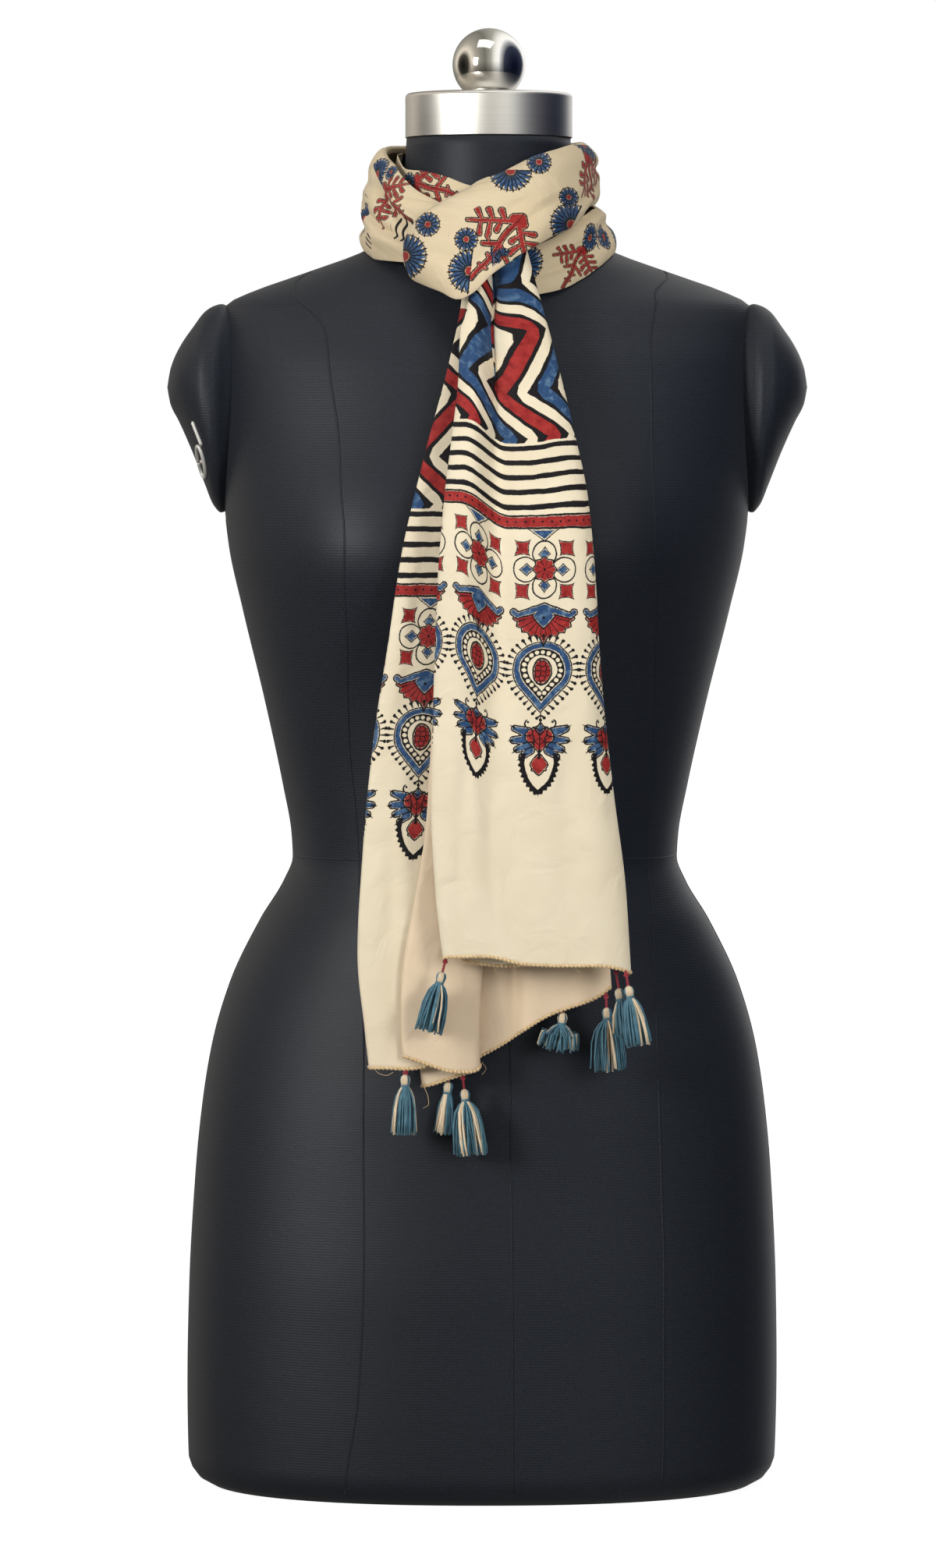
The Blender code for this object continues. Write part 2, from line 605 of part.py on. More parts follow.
def tassel(row, look, collection):
    """A cord, a round head and 16 strands: the faces of the head's lower part drawn out to the foot."""
    root = Vector((row.x, row.y, row.z))
    drop = Vector((row.foot_x, row.foot_y, row.foot_z)) - root
    bm = bmesh.new()
    bmesh.ops.create_uvsphere(bm, u_segments=HEAD["around"], v_segments=HEAD["rings"], radius=1.0)
    cap = [face for face in bm.faces if face.calc_center_median().z > 0.8]
    roots = [face for face in bm.faces if face.calc_center_median().z < -0.6]
    head = row.cord + HEAD["half_height"]
    size = Vector((HEAD["radius"], HEAD["radius"], HEAD["half_height"]))
    bmesh.ops.scale(bm, vec=size, verts=bm.verts[:])
    bmesh.ops.translate(bm, vec=(0.0, 0.0, -head), verts=bm.verts[:])
    cord = bmesh.ops.extrude_face_region(bm, geom=cap)["geom"]
    for vertex in [item for item in cord if isinstance(item, bmesh.types.BMVert)]:
        vertex.co.z = 0.0
    bmesh.ops.delete(bm, geom=cap, context="FACES_ONLY")
    bmesh.ops.inset_individual(bm, faces=roots, thickness=0.12)
    strands = bmesh.ops.extrude_discrete_faces(bm, faces=roots)["faces"]
    for strand in strands:
        middle = strand.calc_center_median()
        out = Vector((middle.x, middle.y, 0.0)) / (HEAD["radius"] * OUTER_ROOT) * row.spread
        foot = Vector((out.x, out.y, -drop.length))
        for vertex in strand.verts:
            spot = vertex.co - middle
            vertex.co = foot + Vector((spot.x, spot.y, 0.0)) * 0.9
    turn = Vector((0.0, 0.0, -1.0)).rotation_difference(drop).to_matrix().to_4x4()
    bm.transform(Matrix.Scale(MM, 4) @ Matrix.Translation(root) @ turn)
    add_object(row.name, bm, look, collection)


def build_tassels(collection):
    yarn = material("tassel_yarn", (0.05, 0.17, 0.24), 0.8)
    for row in TASSELS:
        tassel(row, yarn, collection)


def build_all():
    for old in list(bpy.data.objects):
        bpy.data.objects.remove(old, do_unlink=True)
    collection = bpy.data.collections.new("Stole on a dress form")
    bpy.context.scene.collection.children.link(collection)
    build_form(collection)
    build_stole(collection)
    build_tassels(collection)


build_all()
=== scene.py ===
# A block-printed stole looped round the neck of a dress form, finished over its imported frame.
# The tables are millimetres and degrees round the neck: 0 is the front, 90 the viewer's right,
# 180 the nape. Most of them repeat the solids' own tables, worked out finer here. The pads, the wrap
# and the inner collar have rows of their own, close to the solids'.

import math
import random
from collections import namedtuple

import bpy
import numpy as np
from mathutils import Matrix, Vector


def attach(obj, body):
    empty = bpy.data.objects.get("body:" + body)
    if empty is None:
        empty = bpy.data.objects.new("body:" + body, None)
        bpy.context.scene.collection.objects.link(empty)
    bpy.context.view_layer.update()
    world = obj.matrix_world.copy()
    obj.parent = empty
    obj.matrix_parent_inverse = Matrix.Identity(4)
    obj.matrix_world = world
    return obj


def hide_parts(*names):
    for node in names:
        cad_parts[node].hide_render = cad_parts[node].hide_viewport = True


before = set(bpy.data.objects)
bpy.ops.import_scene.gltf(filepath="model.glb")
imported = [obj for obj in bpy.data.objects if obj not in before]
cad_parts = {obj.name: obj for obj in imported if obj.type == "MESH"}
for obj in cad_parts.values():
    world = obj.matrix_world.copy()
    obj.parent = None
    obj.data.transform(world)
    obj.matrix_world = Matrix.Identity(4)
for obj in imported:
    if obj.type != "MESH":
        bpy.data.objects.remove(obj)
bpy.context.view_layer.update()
mm = 0.001
neckTop = 768.8
leaning = {"perMillimetre": 0.0052, "from": 400.0}


# Curves through the rows of a table

def readRows(rows, column, at):
    # a smooth curve that never swings past the rows' own values
    key = rows[0]._fields[0]
    ordered = sorted(rows, key=lambda row: getattr(row, key))
    places = np.array([getattr(row, key) for row in ordered], float)
    values = np.array([getattr(row, column) for row in ordered], float)
    spans = np.diff(places)
    slopes = np.diff(values) / spans
    tangents = np.concatenate([slopes[:1], np.zeros(len(slopes) - 1), slopes[-1:]])
    product = slopes[:-1] * slopes[1:]
    rising = product > 0
    total = np.where(rising, slopes[:-1] + slopes[1:], 1.0)
    tangents[1:-1] = np.where(rising, 2 * product / total, 0.0)
    at = np.clip(np.asarray(at, float), places[0], places[-1])
    i = np.clip(np.searchsorted(places, at, side="right") - 1, 0, len(spans) - 1)
    t = (at - places[i]) / spans[i]
    return (
        (2 * t**3 - 3 * t**2 + 1) * values[i]
        + (t**3 - 2 * t**2 + t) * spans[i] * tangents[i]
        + (3 * t**2 - 2 * t**3) * values[i + 1]
        + (t**3 - t**2) * spans[i] * tangents[i + 1]
    )


def smoothStep(share):
    share = np.clip(share, 0.0, 1.0)
    return share * share * (3 - 2 * share)


def bell(distance, spread):
    return np.exp(-(distance**2) / (2 * spread**2))


def signedPower(value, power):
    return np.sign(value) * np.abs(value) ** power


def lean(height):
    # the form leans a little to the right on its way up
    return leaning["perMillimetre"] * (height - leaning["from"])


# Meshes

def gridFaces(rows, columns, closed=False):
    corner = np.arange(rows * columns).reshape(rows, columns)
    if closed:
        corner = np.concatenate([corner, corner[:, :1]], axis=1)
    quads = [corner[:-1, :-1], corner[:-1, 1:], corner[1:, 1:], corner[1:, :-1]]
    return np.stack(quads, axis=-1).reshape(-1, 4)


def addPiece(name, points, faces, looks, nodes=(), indices=None, attributes=None):
    mesh = bpy.data.meshes.new(name)
    mesh.from_pydata((np.asarray(points, float).reshape(-1, 3) * mm).tolist(), [], [list(f) for f in faces])
    for look in looks if isinstance(looks, list) else [looks]:
        mesh.materials.append(look)
    if indices is not None:
        mesh.polygons.foreach_set("material_index", np.asarray(indices, np.int32))
    for key, values in (attributes or {}).items():
        layer = mesh.attributes.new(key, "FLOAT_VECTOR", "POINT")
        layer.data.foreach_set("vector", np.asarray(values, np.float32).reshape(-1))
    mesh.shade_smooth()
    mesh.update()
    piece = bpy.data.objects.new(name, mesh)
    bpy.context.scene.collection.objects.link(piece)
    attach(piece, "root")
    if nodes:
        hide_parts(*nodes)
    return piece


def addShell(name, points, look, nodes, attributes, thickness, flat):
    rows, columns = points.shape[:2]
    piece = addPiece(name, points, gridFaces(rows, columns), look, nodes, None, attributes)
    wall = piece.modifiers.new("Wall", "SOLIDIFY")
    wall.thickness = thickness * mm
    wall.offset = 0.0
    flat[0] * mm
    flat[1] * mm
    return piece


def tubeRings(path, radii, sides):
    # rings of points round a path, with a frame that turns with it
    path = np.asarray(path, float)
    radii = np.broadcast_to(np.asarray(radii, float), (len(path),))
    heading = np.gradient(path, axis=0)
    heading /= np.maximum(np.linalg.norm(heading, axis=1, keepdims=True), 1e-9)
    side = np.cross(heading[0], [0.31, 0.92, 0.24])
    side /= np.linalg.norm(side)
    rings = []
    angles = np.arange(sides) / sides * 2 * math.pi
    for spot, ahead, radius in zip(path, heading, radii):
        side = side - ahead * side.dot(ahead)
        side /= np.linalg.norm(side)
        up = np.cross(ahead, side)
        rings.append(spot + radius * (np.outer(np.cos(angles), side) + np.outer(np.sin(angles), up)))
    return np.array(rings)


class Bundle:
    # many small tubes and strands, gathered into one mesh
    def __init__(self):
        self.points, self.faces, self.indices, self.count = [], [], [], 0

    def tube(self, path, radii, sides, index=0):
        rings = tubeRings(path, radii, sides)
        faces = gridFaces(len(rings), sides, closed=True) + self.count
        self.points.append(rings.reshape(-1, 3))
        self.faces += faces.tolist()
        last = self.count + (len(rings) - 1) * sides
        self.faces.append(list(range(self.count, self.count + sides))[::-1])
        self.faces.append(list(range(last, last + sides)))
        self.indices += [index] * (len(faces) + 2)
        self.count += len(rings) * sides

    def make(self, name, looks, nodes=()):
        return addPiece(name, np.concatenate(self.points), self.faces, looks, nodes, self.indices)


# Materials

def toLinear(hexColour):
    # sRGB hex to the linear values that a shader takes
    channels = [int(hexColour[i:i + 2], 16) / 255 for i in (1, 3, 5)]
    return (*[c / 12.92 if c <= 0.04045 else ((c + 0.055) / 1.055) ** 2.4 for c in channels], 1.0)


def fillInputs(tree, node, inputs):
    # a socket is linked; a plain value is set on the node's own input
    for key, value in inputs.items():
        if isinstance(value, bpy.types.NodeSocket):
            tree.links.new(value, node.inputs[key])
        else:
            node.inputs[key].default_value = value


def addNode(tree, kind, inputs=None, **settings):
    made = tree.nodes.new("ShaderNode" + kind)
    for key, value in settings.items():
        setattr(made, key, value)
    fillInputs(tree, made, inputs or {})
    return made


def newMaterial(name):
    look = bpy.data.materials.new(name)
    look.use_nodes = True
    tree = look.node_tree
    return look, tree, tree.nodes["Principled BSDF"]


class Formula:
    # a number or a place that varies over the cloth: its arithmetic is laid down as shader nodes
    def __init__(self, tree, socket):
        self.tree, self.socket = tree, socket

    def step(self, kind, operation, values, output=0, **settings):
        filled = {k: v.socket if isinstance(v, Formula) else v for k, v in enumerate(values)}
        made = addNode(self.tree, kind, filled, operation=operation, **settings)
        return Formula(self.tree, made.outputs[output])

    def __add__(self, other):
        return self.step("Math", "ADD", [self, other])

    def __sub__(self, other):
        return self.step("Math", "SUBTRACT", [self, other])

    def __rsub__(self, other):
        return self.step("Math", "SUBTRACT", [other, self])

    def __mul__(self, other):
        return self.step("Math", "MULTIPLY", [self, other])

    def __neg__(self):
        return self * -1.0

    def __abs__(self):
        return self.step("Math", "ABSOLUTE", [self])

    def plus(self, factor, other):
        return self.step("Math", "MULTIPLY_ADD", [self, factor, other])

    def least(self, *others):
        result = self
        for other in others:
            result = result.step("Math", "MINIMUM", [result, other])
        return result

    def most(self, *others):
        result = self
        for other in others:
            result = result.step("Math", "MAXIMUM", [result, other])
        return result

    def wrapped(self, pitch):
        # from the middle of the nearest repeat
        return self.step("Math", "WRAP", [self, pitch / 2, -pitch / 2])

    def sine(self):
        return self.step("Math", "SINE", [self])

    def clamped(self):
        return self.step("Math", "ADD", [self, 0.0], use_clamp=True)

    def angleFrom(self, upright):
        return self.step("Math", "ARCTAN2", [self, upright])

    def place(self, y):
        joined = addNode(self.tree, "CombineXYZ", {0: self.socket, 1: y.socket})
        return Formula(self.tree, joined.outputs[0])

    def parts(self):
        split = addNode(self.tree, "SeparateXYZ", {0: self.socket})
        return [Formula(self.tree, part) for part in split.outputs]

    def distance(self, x, y):
        return self.step("VectorMath", "DISTANCE", [self, (x, y, 0.0)], 1)

    def inside(self, softness):
        # 1 where a distance is negative, with an edge as soft as the ink's own
        return self.step("Math", "MULTIPLY_ADD", [self, -1.0 / softness, 0.5], use_clamp=True)


def ball(spot, x, y, radius):
    return spot.distance(x, y) - radius


def twig(spot, start, end, thick, thickEnd=None):
    # a stroke with round ends, thinner or thicker towards its far end
    run = Vector((end[0] - start[0], end[1] - start[1], 0.0))
    offset = spot.step("VectorMath", "SUBTRACT", [spot, (start[0], start[1], 0.0)])
    share = offset.step("VectorMath", "DOT_PRODUCT", [offset, tuple(run / run.length_squared)], 1).clamped()
    off = offset.step("VectorMath", "MULTIPLY_ADD", [share, tuple(-run), offset])
    reach = off.step("VectorMath", "LENGTH", [off], 1)
    if thickEnd is None:
        return reach - thick
    return reach + share.plus(thick - thickEnd, -thick)


def diamond(x, y, halfWidth, halfHeight, hollow=1.0):
    # below 1, hollow draws the sides in
    wide = abs(x) * (1 / halfWidth)
    tall = abs(y) * (1 / halfHeight)
    if hollow != 1.0:
        wide = wide.step("Math", "POWER", [wide, hollow])
        tall = tall.step("Math", "POWER", [tall, hollow])
    return (wide + tall - 1.0) * (0.7 * min(halfWidth, halfHeight))


def dropShape(x, y, radius, reach, tracks):
    # a round drop with its point down; x is already mirrored. Gives the distance from its edge, and
    # for each track inside or outside the edge the length along it, from the top
    half = math.asin(radius / reach)
    rise, run = math.sin(half), math.cos(half)
    beside = x.plus(run, (y + reach) * -rise)
    along = x.plus(rise, (y + reach) * run)
    onSide = along.step("Math", "LESS_THAN", [along, reach * run])
    bow = ball(x.place(y), 0.0, 0.0, radius)
    edge = onSide.plus(beside - bow, bow)
    turn = x.angleFrom(y)
    lengths = []
    for track in tracks:
        arc = turn * (radius + track)
        side = (radius + track) * (math.pi / 2 + half) + reach * run - along
        lengths.append(onSide.plus(side - arc, arc))
    return edge, *lengths


printPlan = {
    # heights above the hem along the cloth
    "column": 38.5,
    "pendant": 117.5,
    "drop": 163.0,
    "fan": 192.0,
    "medallion": 217.5,
    "dottedBand": 243.6,
    "stripes": {"first": 252.0, "pitch": 8.7, "count": 5, "half": 1.55},
    "zigzag": {"from": 290.0, "to": 412.0, "leftTip": 321.0, "period": 66.0, "steep": 0.57, "swing": 30.0,
               "repeat": 46.0, "band": 12.4, "line": 1.45, "round": 5.0},
}
inks = {
    "cloth": ["#E6DAC0", "#D9CAAC"],
    "clothField": ["#D9C9AB", "#CCB792"],
    "reverse": "#DDC7A9",
    "red": "#9E302C",
    "redDark": "#7E1A1B",
    "blue": "#274469",
    "bluePale": "#7797B0",
    "black": "#110E10",
    "edge": 0.28,  # softness of an ink's edge
    "outline": 0.85,
}


def pendantMotif(x, y):
    # winged pendant with a heart, hanging by a stem; x mirrored
    spot = x.place(y)
    line = inks["outline"]
    feathers = [
        twig(spot, (7.0, 10.6), (14.4, 13.0), 2.5, 1.3),
        twig(spot, (6.0, 7.0), (14.8, 6.4), 2.5, 1.3),
        twig(spot, (6.0, 3.9), (12.6, 1.4), 2.4, 1.2),
        twig(spot, (5.2, 1.2), (9.8, -2.4), 2.2, 1.1),
    ]
    wings = feathers[0].least(*feathers[1:])
    between = [abs(upper - lower) for upper, lower in zip(feathers, feathers[1:])]
    veins = (between[0].least(*between[1:]) - 0.7).most(wings)
    tips = twig(spot, (14.6, 13.6), (17.4, 14.8), 0.7, 0.1).least(
        twig(spot, (15.2, 6.0), (18.0, 6.0), 0.8, 0.1), twig(spot, (13.0, 1.0), (15.6, -0.8), 0.8, 0.1),
        twig(spot, (10.0, -2.6), (12.2, -4.6), 0.7, 0.1))
    heart = twig(spot, (3.5, 8.6), (0.0, 1.2), 4.1, 0.8)
    heartLines = (x - 0.3).least(twig(spot, (0.0, 4.0), (6.5, 9.0), 0.25),
                                 twig(spot, (0.0, 8.0), (5.0, 3.5), 0.22))
    notch = diamond(x, y - 12.6, 2.4, 2.8)
    tulip = diamond(x, y + 6.8, 4.4, 5.4, 1.25).least(twig(spot, (0.0, -6.0), (3.6, -9.6), 1.1, 0.2))
    side = (x + 10.0).place(y + 5.6)
    body = ball(side, 0.0, 0.0, 18.0)
    teeth = abs(((x + 10.0).angleFrom(y + 5.6) * (19.5 / 2.9)).wrapped(1.0)) * 2.8
    rim = (body + teeth - 3.7).most(-body, y + 0.6)
    stem = twig(spot, (0.0, 21.4), (0.0, 15.0), 0.3, 0.5).least(ball(spot, 0.0, 17.6, 0.95),
                                                                twig(spot, (0.0, 0.8), (0.0, -3.0), 0.8))
    curl = (abs(ball(spot, 6.4, 15.6, 2.3)) - 0.48).most(2.2 - x.plus(0.55, y * -0.1)).least(
        twig(spot, (1.2, 14.2), (4.4, 13.6), 0.35), ball(spot, 6.9, 16.6, 0.7))
    black = rim.least(stem, curl, tips, veins, (wings - line).most(-wings), (heart - line).most(-heart),
                      heartLines.most(heart), (notch - line).most(-notch), (tulip - line).most(-tulip))
    return heart.least(tulip), wings.most(0.3 - heart).least(notch), black


def dropMotif(x, y, side):
    # drop with a dotted ring, a cluster of berries and a fringe of pins
    edge, alongBeads, alongPins = dropShape(x, y, 15.2, 23.6, [-5.6, 2.5])
    line = inks["outline"]
    ring = abs(edge + 1.9) - 1.6
    inner = abs(edge + 5.7) - 1.75
    beads = ball(alongBeads.wrapped(3.1).place(edge), 0.0, -5.7, 1.1)
    pinSpot = alongPins.wrapped(3.5).place(edge)
    fringe = ball(pinSpot, 0.0, 3.6, 0.9).least(twig(pinSpot, (0.0, 1.0), (0.0, 3.4), 0.36, 0.6))
    outlines = (abs(edge - 0.1) - 0.36).least(abs(edge + 4.0) - 0.3)
    cluster = ball(x.place((y + 1.2) * 0.7), 0.0, 0.0, 4.5)
    berries = addNode(x.tree, "TexVoronoi", {"Vector": side.place(y).socket, "Scale": 0.36,
                                             "Randomness": 0.35},
                      voronoi_dimensions="2D", feature="DISTANCE_TO_EDGE")
    seams = (Formula(x.tree, berries.outputs[0]) * 2.8 - 0.26).most(cluster)
    black = inner.most(-beads).least(fringe, outlines, seams, (cluster - line).most(-cluster))
    return cluster, ring, black


def fanMotif(x, y):
    # ribbed fan under a curled bracket
    spot = x.place(y)
    line = inks["outline"]
    bracket = twig(spot, (0.0, 5.4), (8.0, 2.4), 1.5, 1.5).least(
        twig(spot, (8.0, 2.4), (14.6, 0.4), 1.5, 1.25), twig(spot, (14.6, 0.4), (17.0, 2.4), 1.25, 1.3))
    leaf = diamond(x, y - 0.4, 5.6, 6.4, 1.1)
    blue = bracket.least(leaf)
    shape = (x * (1 / 16.6)).place((y - 1.2) * (1 / 12.6))
    angle = x.angleFrom(1.2 - y)
    ribs = (angle * (11 / math.pi)).wrapped(1.0)
    scallop = abs(ribs) * 0.22
    red = ((shape.distance(0.0, 0.0) + scallop - 1.03) * 12.6).least(diamond(x, y + 10.6, 2.0, 4.0)).most(
        y - 1.5, 0.4 - blue)
    seams = (0.5 - abs(ribs) - 0.085).most(red) * 3.0
    black = (blue - line).most(-blue).least((red - line).most(-red, 0.2 - blue), seams,
                                            ball(spot, 0.0, -0.4, 0.75))
    return red, blue, black


def medallionMotif(x, y):
    # four rings round a flower, with a hollow diamond at each corner; x and y mirrored
    spot = x.place(y)
    line = inks["outline"]
    reach = spot.distance(0.0, 0.0)
    petals = (x.angleFrom(y) * (8 / (2 * math.pi))).wrapped(1.0)
    flower = reach + abs(petals) * 2.4 - 6.6
    petalLines = (0.5 - abs(petals) - 0.07).most(flower, 1.3 - reach) * 2.0
    rings = (abs(ball(spot, 11.2, 0.0, 6.8)) - 0.42).least(
        abs(ball(spot, 0.0, 8.9, 6.8)) - 0.42).most(-flower)
    buds = diamond(x - 10.4, y, 3.5, 2.9, 0.9).least(diamond(x, y - 8.6, 2.9, 3.5, 0.9))
    # a square with hollow sides: a hollow diamond turned by an eighth
    eighth = math.sqrt(0.5)
    corners = diamond((x - y - 1.0) * eighth, (x + y - 24.6) * eighth, 6.0, 5.6, 0.72)
    black = rings.least((flower - line).most(-flower), petalLines, (buds - 0.55).most(-buds).most(-flower),
                        (corners - 0.45).most(-corners - 0.1), ball(spot, 0.0, 0.0, 0.8))
    return flower.least(corners), buds.most(0.3 - flower), black


def zigzagLines(across, up):
    # lightning bands: each black line lies between a pointed course and a rounded one
    plan = printPlan["zigzag"]

    def course(shift):
        turns = (up - (plan["leftTip"] + shift)) * (1 / plan["period"])
        phase = turns.step("Math", "WRAP", [turns, 1.0, 0.0])
        return (phase * (1 / plan["steep"])).least((1.0 - phase) * (1 / (1 - plan["steep"])))

    pointed = course(0.0)
    rounded = (course(-plan["round"]) + course(plan["round"])).plus(0.3, pointed * 0.4)
    sharpAt = across - pointed * plan["swing"]
    roundAt = across - rounded * plan["swing"]
    lag = roundAt - sharpAt
    black = None
    for offset in (0.0, plan["band"]):
        sharp = (sharpAt - offset).wrapped(plan["repeat"] / 2)
        soft = sharp + lag
        line = (sharp.least(soft) - plan["line"]).most(-(sharp.most(soft)) - plan["line"])
        black = line if black is None else black.least(line)
    half = plan["band"] / 2
    blue = abs((roundAt - half).wrapped(plan["repeat"])) - half
    red = abs((roundAt - half - plan["repeat"] / 2).wrapped(plan["repeat"])) - half
    limit = abs(up - (plan["from"] + plan["to"]) / 2) - (plan["to"] - plan["from"]) / 2
    return red.most(limit), blue.most(limit), black.most(limit)


def borderPrint(across, up):
    # the stole's end: stripes, dotted band, medallions, fans, drops and pendants, then the zigzag
    side = across.wrapped(printPlan["column"])
    mirrored = abs(side)
    red, blue, black = zigzagLines(across, up)
    stripes = printPlan["stripes"]
    middle = stripes["first"] + stripes["pitch"] * (stripes["count"] - 1) / 2
    span = stripes["pitch"] * stripes["count"] / 2
    lines = (abs((up - stripes["first"]).wrapped(stripes["pitch"])) - stripes["half"]).most(
        abs(up - middle) - span)
    level = printPlan["dottedBand"]
    band = abs(up - level) - 2.9
    dots = ball(across.wrapped(4.6).place(up), 0.0, level + 0.2, 0.62)
    rims = (abs(up - (level + 3.5)) - 0.55).least(abs(up - (level - 3.4)) - 0.6)
    wedge = mirrored.plus(0.62, -(up - 233.6) * 0.75).most(up - 239.4)
    red, blue = red.least(band), blue.least(wedge + 0.3)
    black = black.least(lines, dots, rims, (wedge - 0.6).most(-wedge, up - 239.6))
    motifs = [
        pendantMotif(mirrored * (1 / 0.93), up - printPlan["pendant"]),
        dropMotif(mirrored, up - printPlan["drop"], side),
        fanMotif(mirrored * (1 / 0.93), up - printPlan["fan"]),
        medallionMotif(mirrored * (1 / 0.9), abs(up - printPlan["medallion"])),
    ]
    for redPart, bluePart, blackPart in motifs:
        red, blue, black = red.least(redPart), blue.least(bluePart), black.least(blackPart)
    return red, blue, black


def rosette(place, petals, core, outer, half):
    # a round flower, or half of one where its lower part is cut off
    x, y, _ = place.parts()
    reach = place.distance(0.0, 0.0)
    turn = (x.angleFrom(y) * (petals / (2 * math.pi))).wrapped(1.0)
    edge = reach + abs(turn) * (0.14 * outer) - outer
    # lines between the petals grow wider outwards and end in a thorn
    gap = (0.5 - abs(turn)) * (reach * (2 * math.pi / petals)) - 0.36
    thorns = gap.plus(1.0, (reach - outer) * 0.5 - 0.25).most(reach - 1.14 * outer)
    blue = (edge + (turn * 5.0).clamped() * (0.13 * outer)).most(core - reach)
    black = gap.most(edge, core * 0.8 - reach).least((edge - 0.42).most(-edge - 0.1), thorns.most(-edge))
    black = black.least(abs(reach - core) - 0.32)
    red = reach - core * 0.8
    if half:
        cut = -y - 0.6
        red, blue, black = red.most(cut), blue.most(cut), black.most(cut)
    return red, blue, black


def sprayMotif(place):
    # a coral-like branching spray with buds
    x, y, _ = place.parts()
    spot = abs(x + (y * 0.22).sine() * 0.9).place(y)
    strokes = [
        ((0.0, -23.0), (0.0, 15.0), 1.2, 1.5), ((0.0, 20.6), (3.0, 17.8), 2.3, 2.5),
        ((1.0, 17.0), (14.6, 6.2), 1.3, 1.1), ((14.6, 6.2), (22.5, 1.2), 1.0, 0.6),
        ((5.6, 13.8), (11.2, 17.2), 0.65, 1.45), ((10.2, 10.0), (16.4, 13.4), 0.6, 1.4),
        ((15.0, 6.4), (21.0, 9.4), 0.55, 1.35), ((6.6, 12.4), (5.2, 6.6), 0.65, 1.4),
        ((11.0, 9.0), (8.2, 2.4), 0.6, 1.4), ((15.4, 5.6), (12.8, -0.6), 0.55, 1.3),
        ((0.0, 1.4), (8.6, -4.0), 1.3, 0.9), ((4.4, -1.6), (8.4, 0.8), 0.4, 0.8),
        ((0.0, -8.6), (3.0, -7.0), 0.8, 0.7), ((0.0, -15.4), (2.4, -14.0), 0.8, 0.6),
    ]
    parts = [twig(spot, *stroke) for stroke in strokes]
    red = parts[0].least(*parts[1:])
    return red, (red - 0.75).most(-red).least((abs(x - 0.1) - 0.2).most(red))


def fieldPrint(tree):
    # the stole's middle: sprays, round flowers and half flowers, each at the places marked on the cloth
    def marked(name, reach):
        node = addNode(tree, "Attribute", attribute_name=name)
        x, y, far = Formula(tree, node.outputs["Vector"]).parts()
        return x, y, far - reach

    x, y, farSpray = marked("spray", 25.0)
    redSpray, blackSpray = sprayMotif(x.place(y))
    x, y, farFan = marked("fan", 16.0)
    redFan, blueFan, blackFan = rosette(x.place(y), 22.0, 3.0, 10.6, True)
    x, y, farFlower = marked("flower", 9.5)
    redFlower, blueFlower, blackFlower = rosette(x.place(y), 12.0, 1.9, 5.9, False)
    x, y, farBars = marked("bars", 13.0)
    bars = (abs((x - 1.4).wrapped(7.5)) - 1.3).most(farBars)
    red = redSpray.most(farSpray).least(redFan.most(farFan), redFlower.most(farFlower))
    blue = blueFan.most(farFan).least(blueFlower.most(farFlower))
    black = blackSpray.most(farSpray).least(blackFan.most(farFan), blackFlower.most(farFlower), bars)
    return red, blue, black


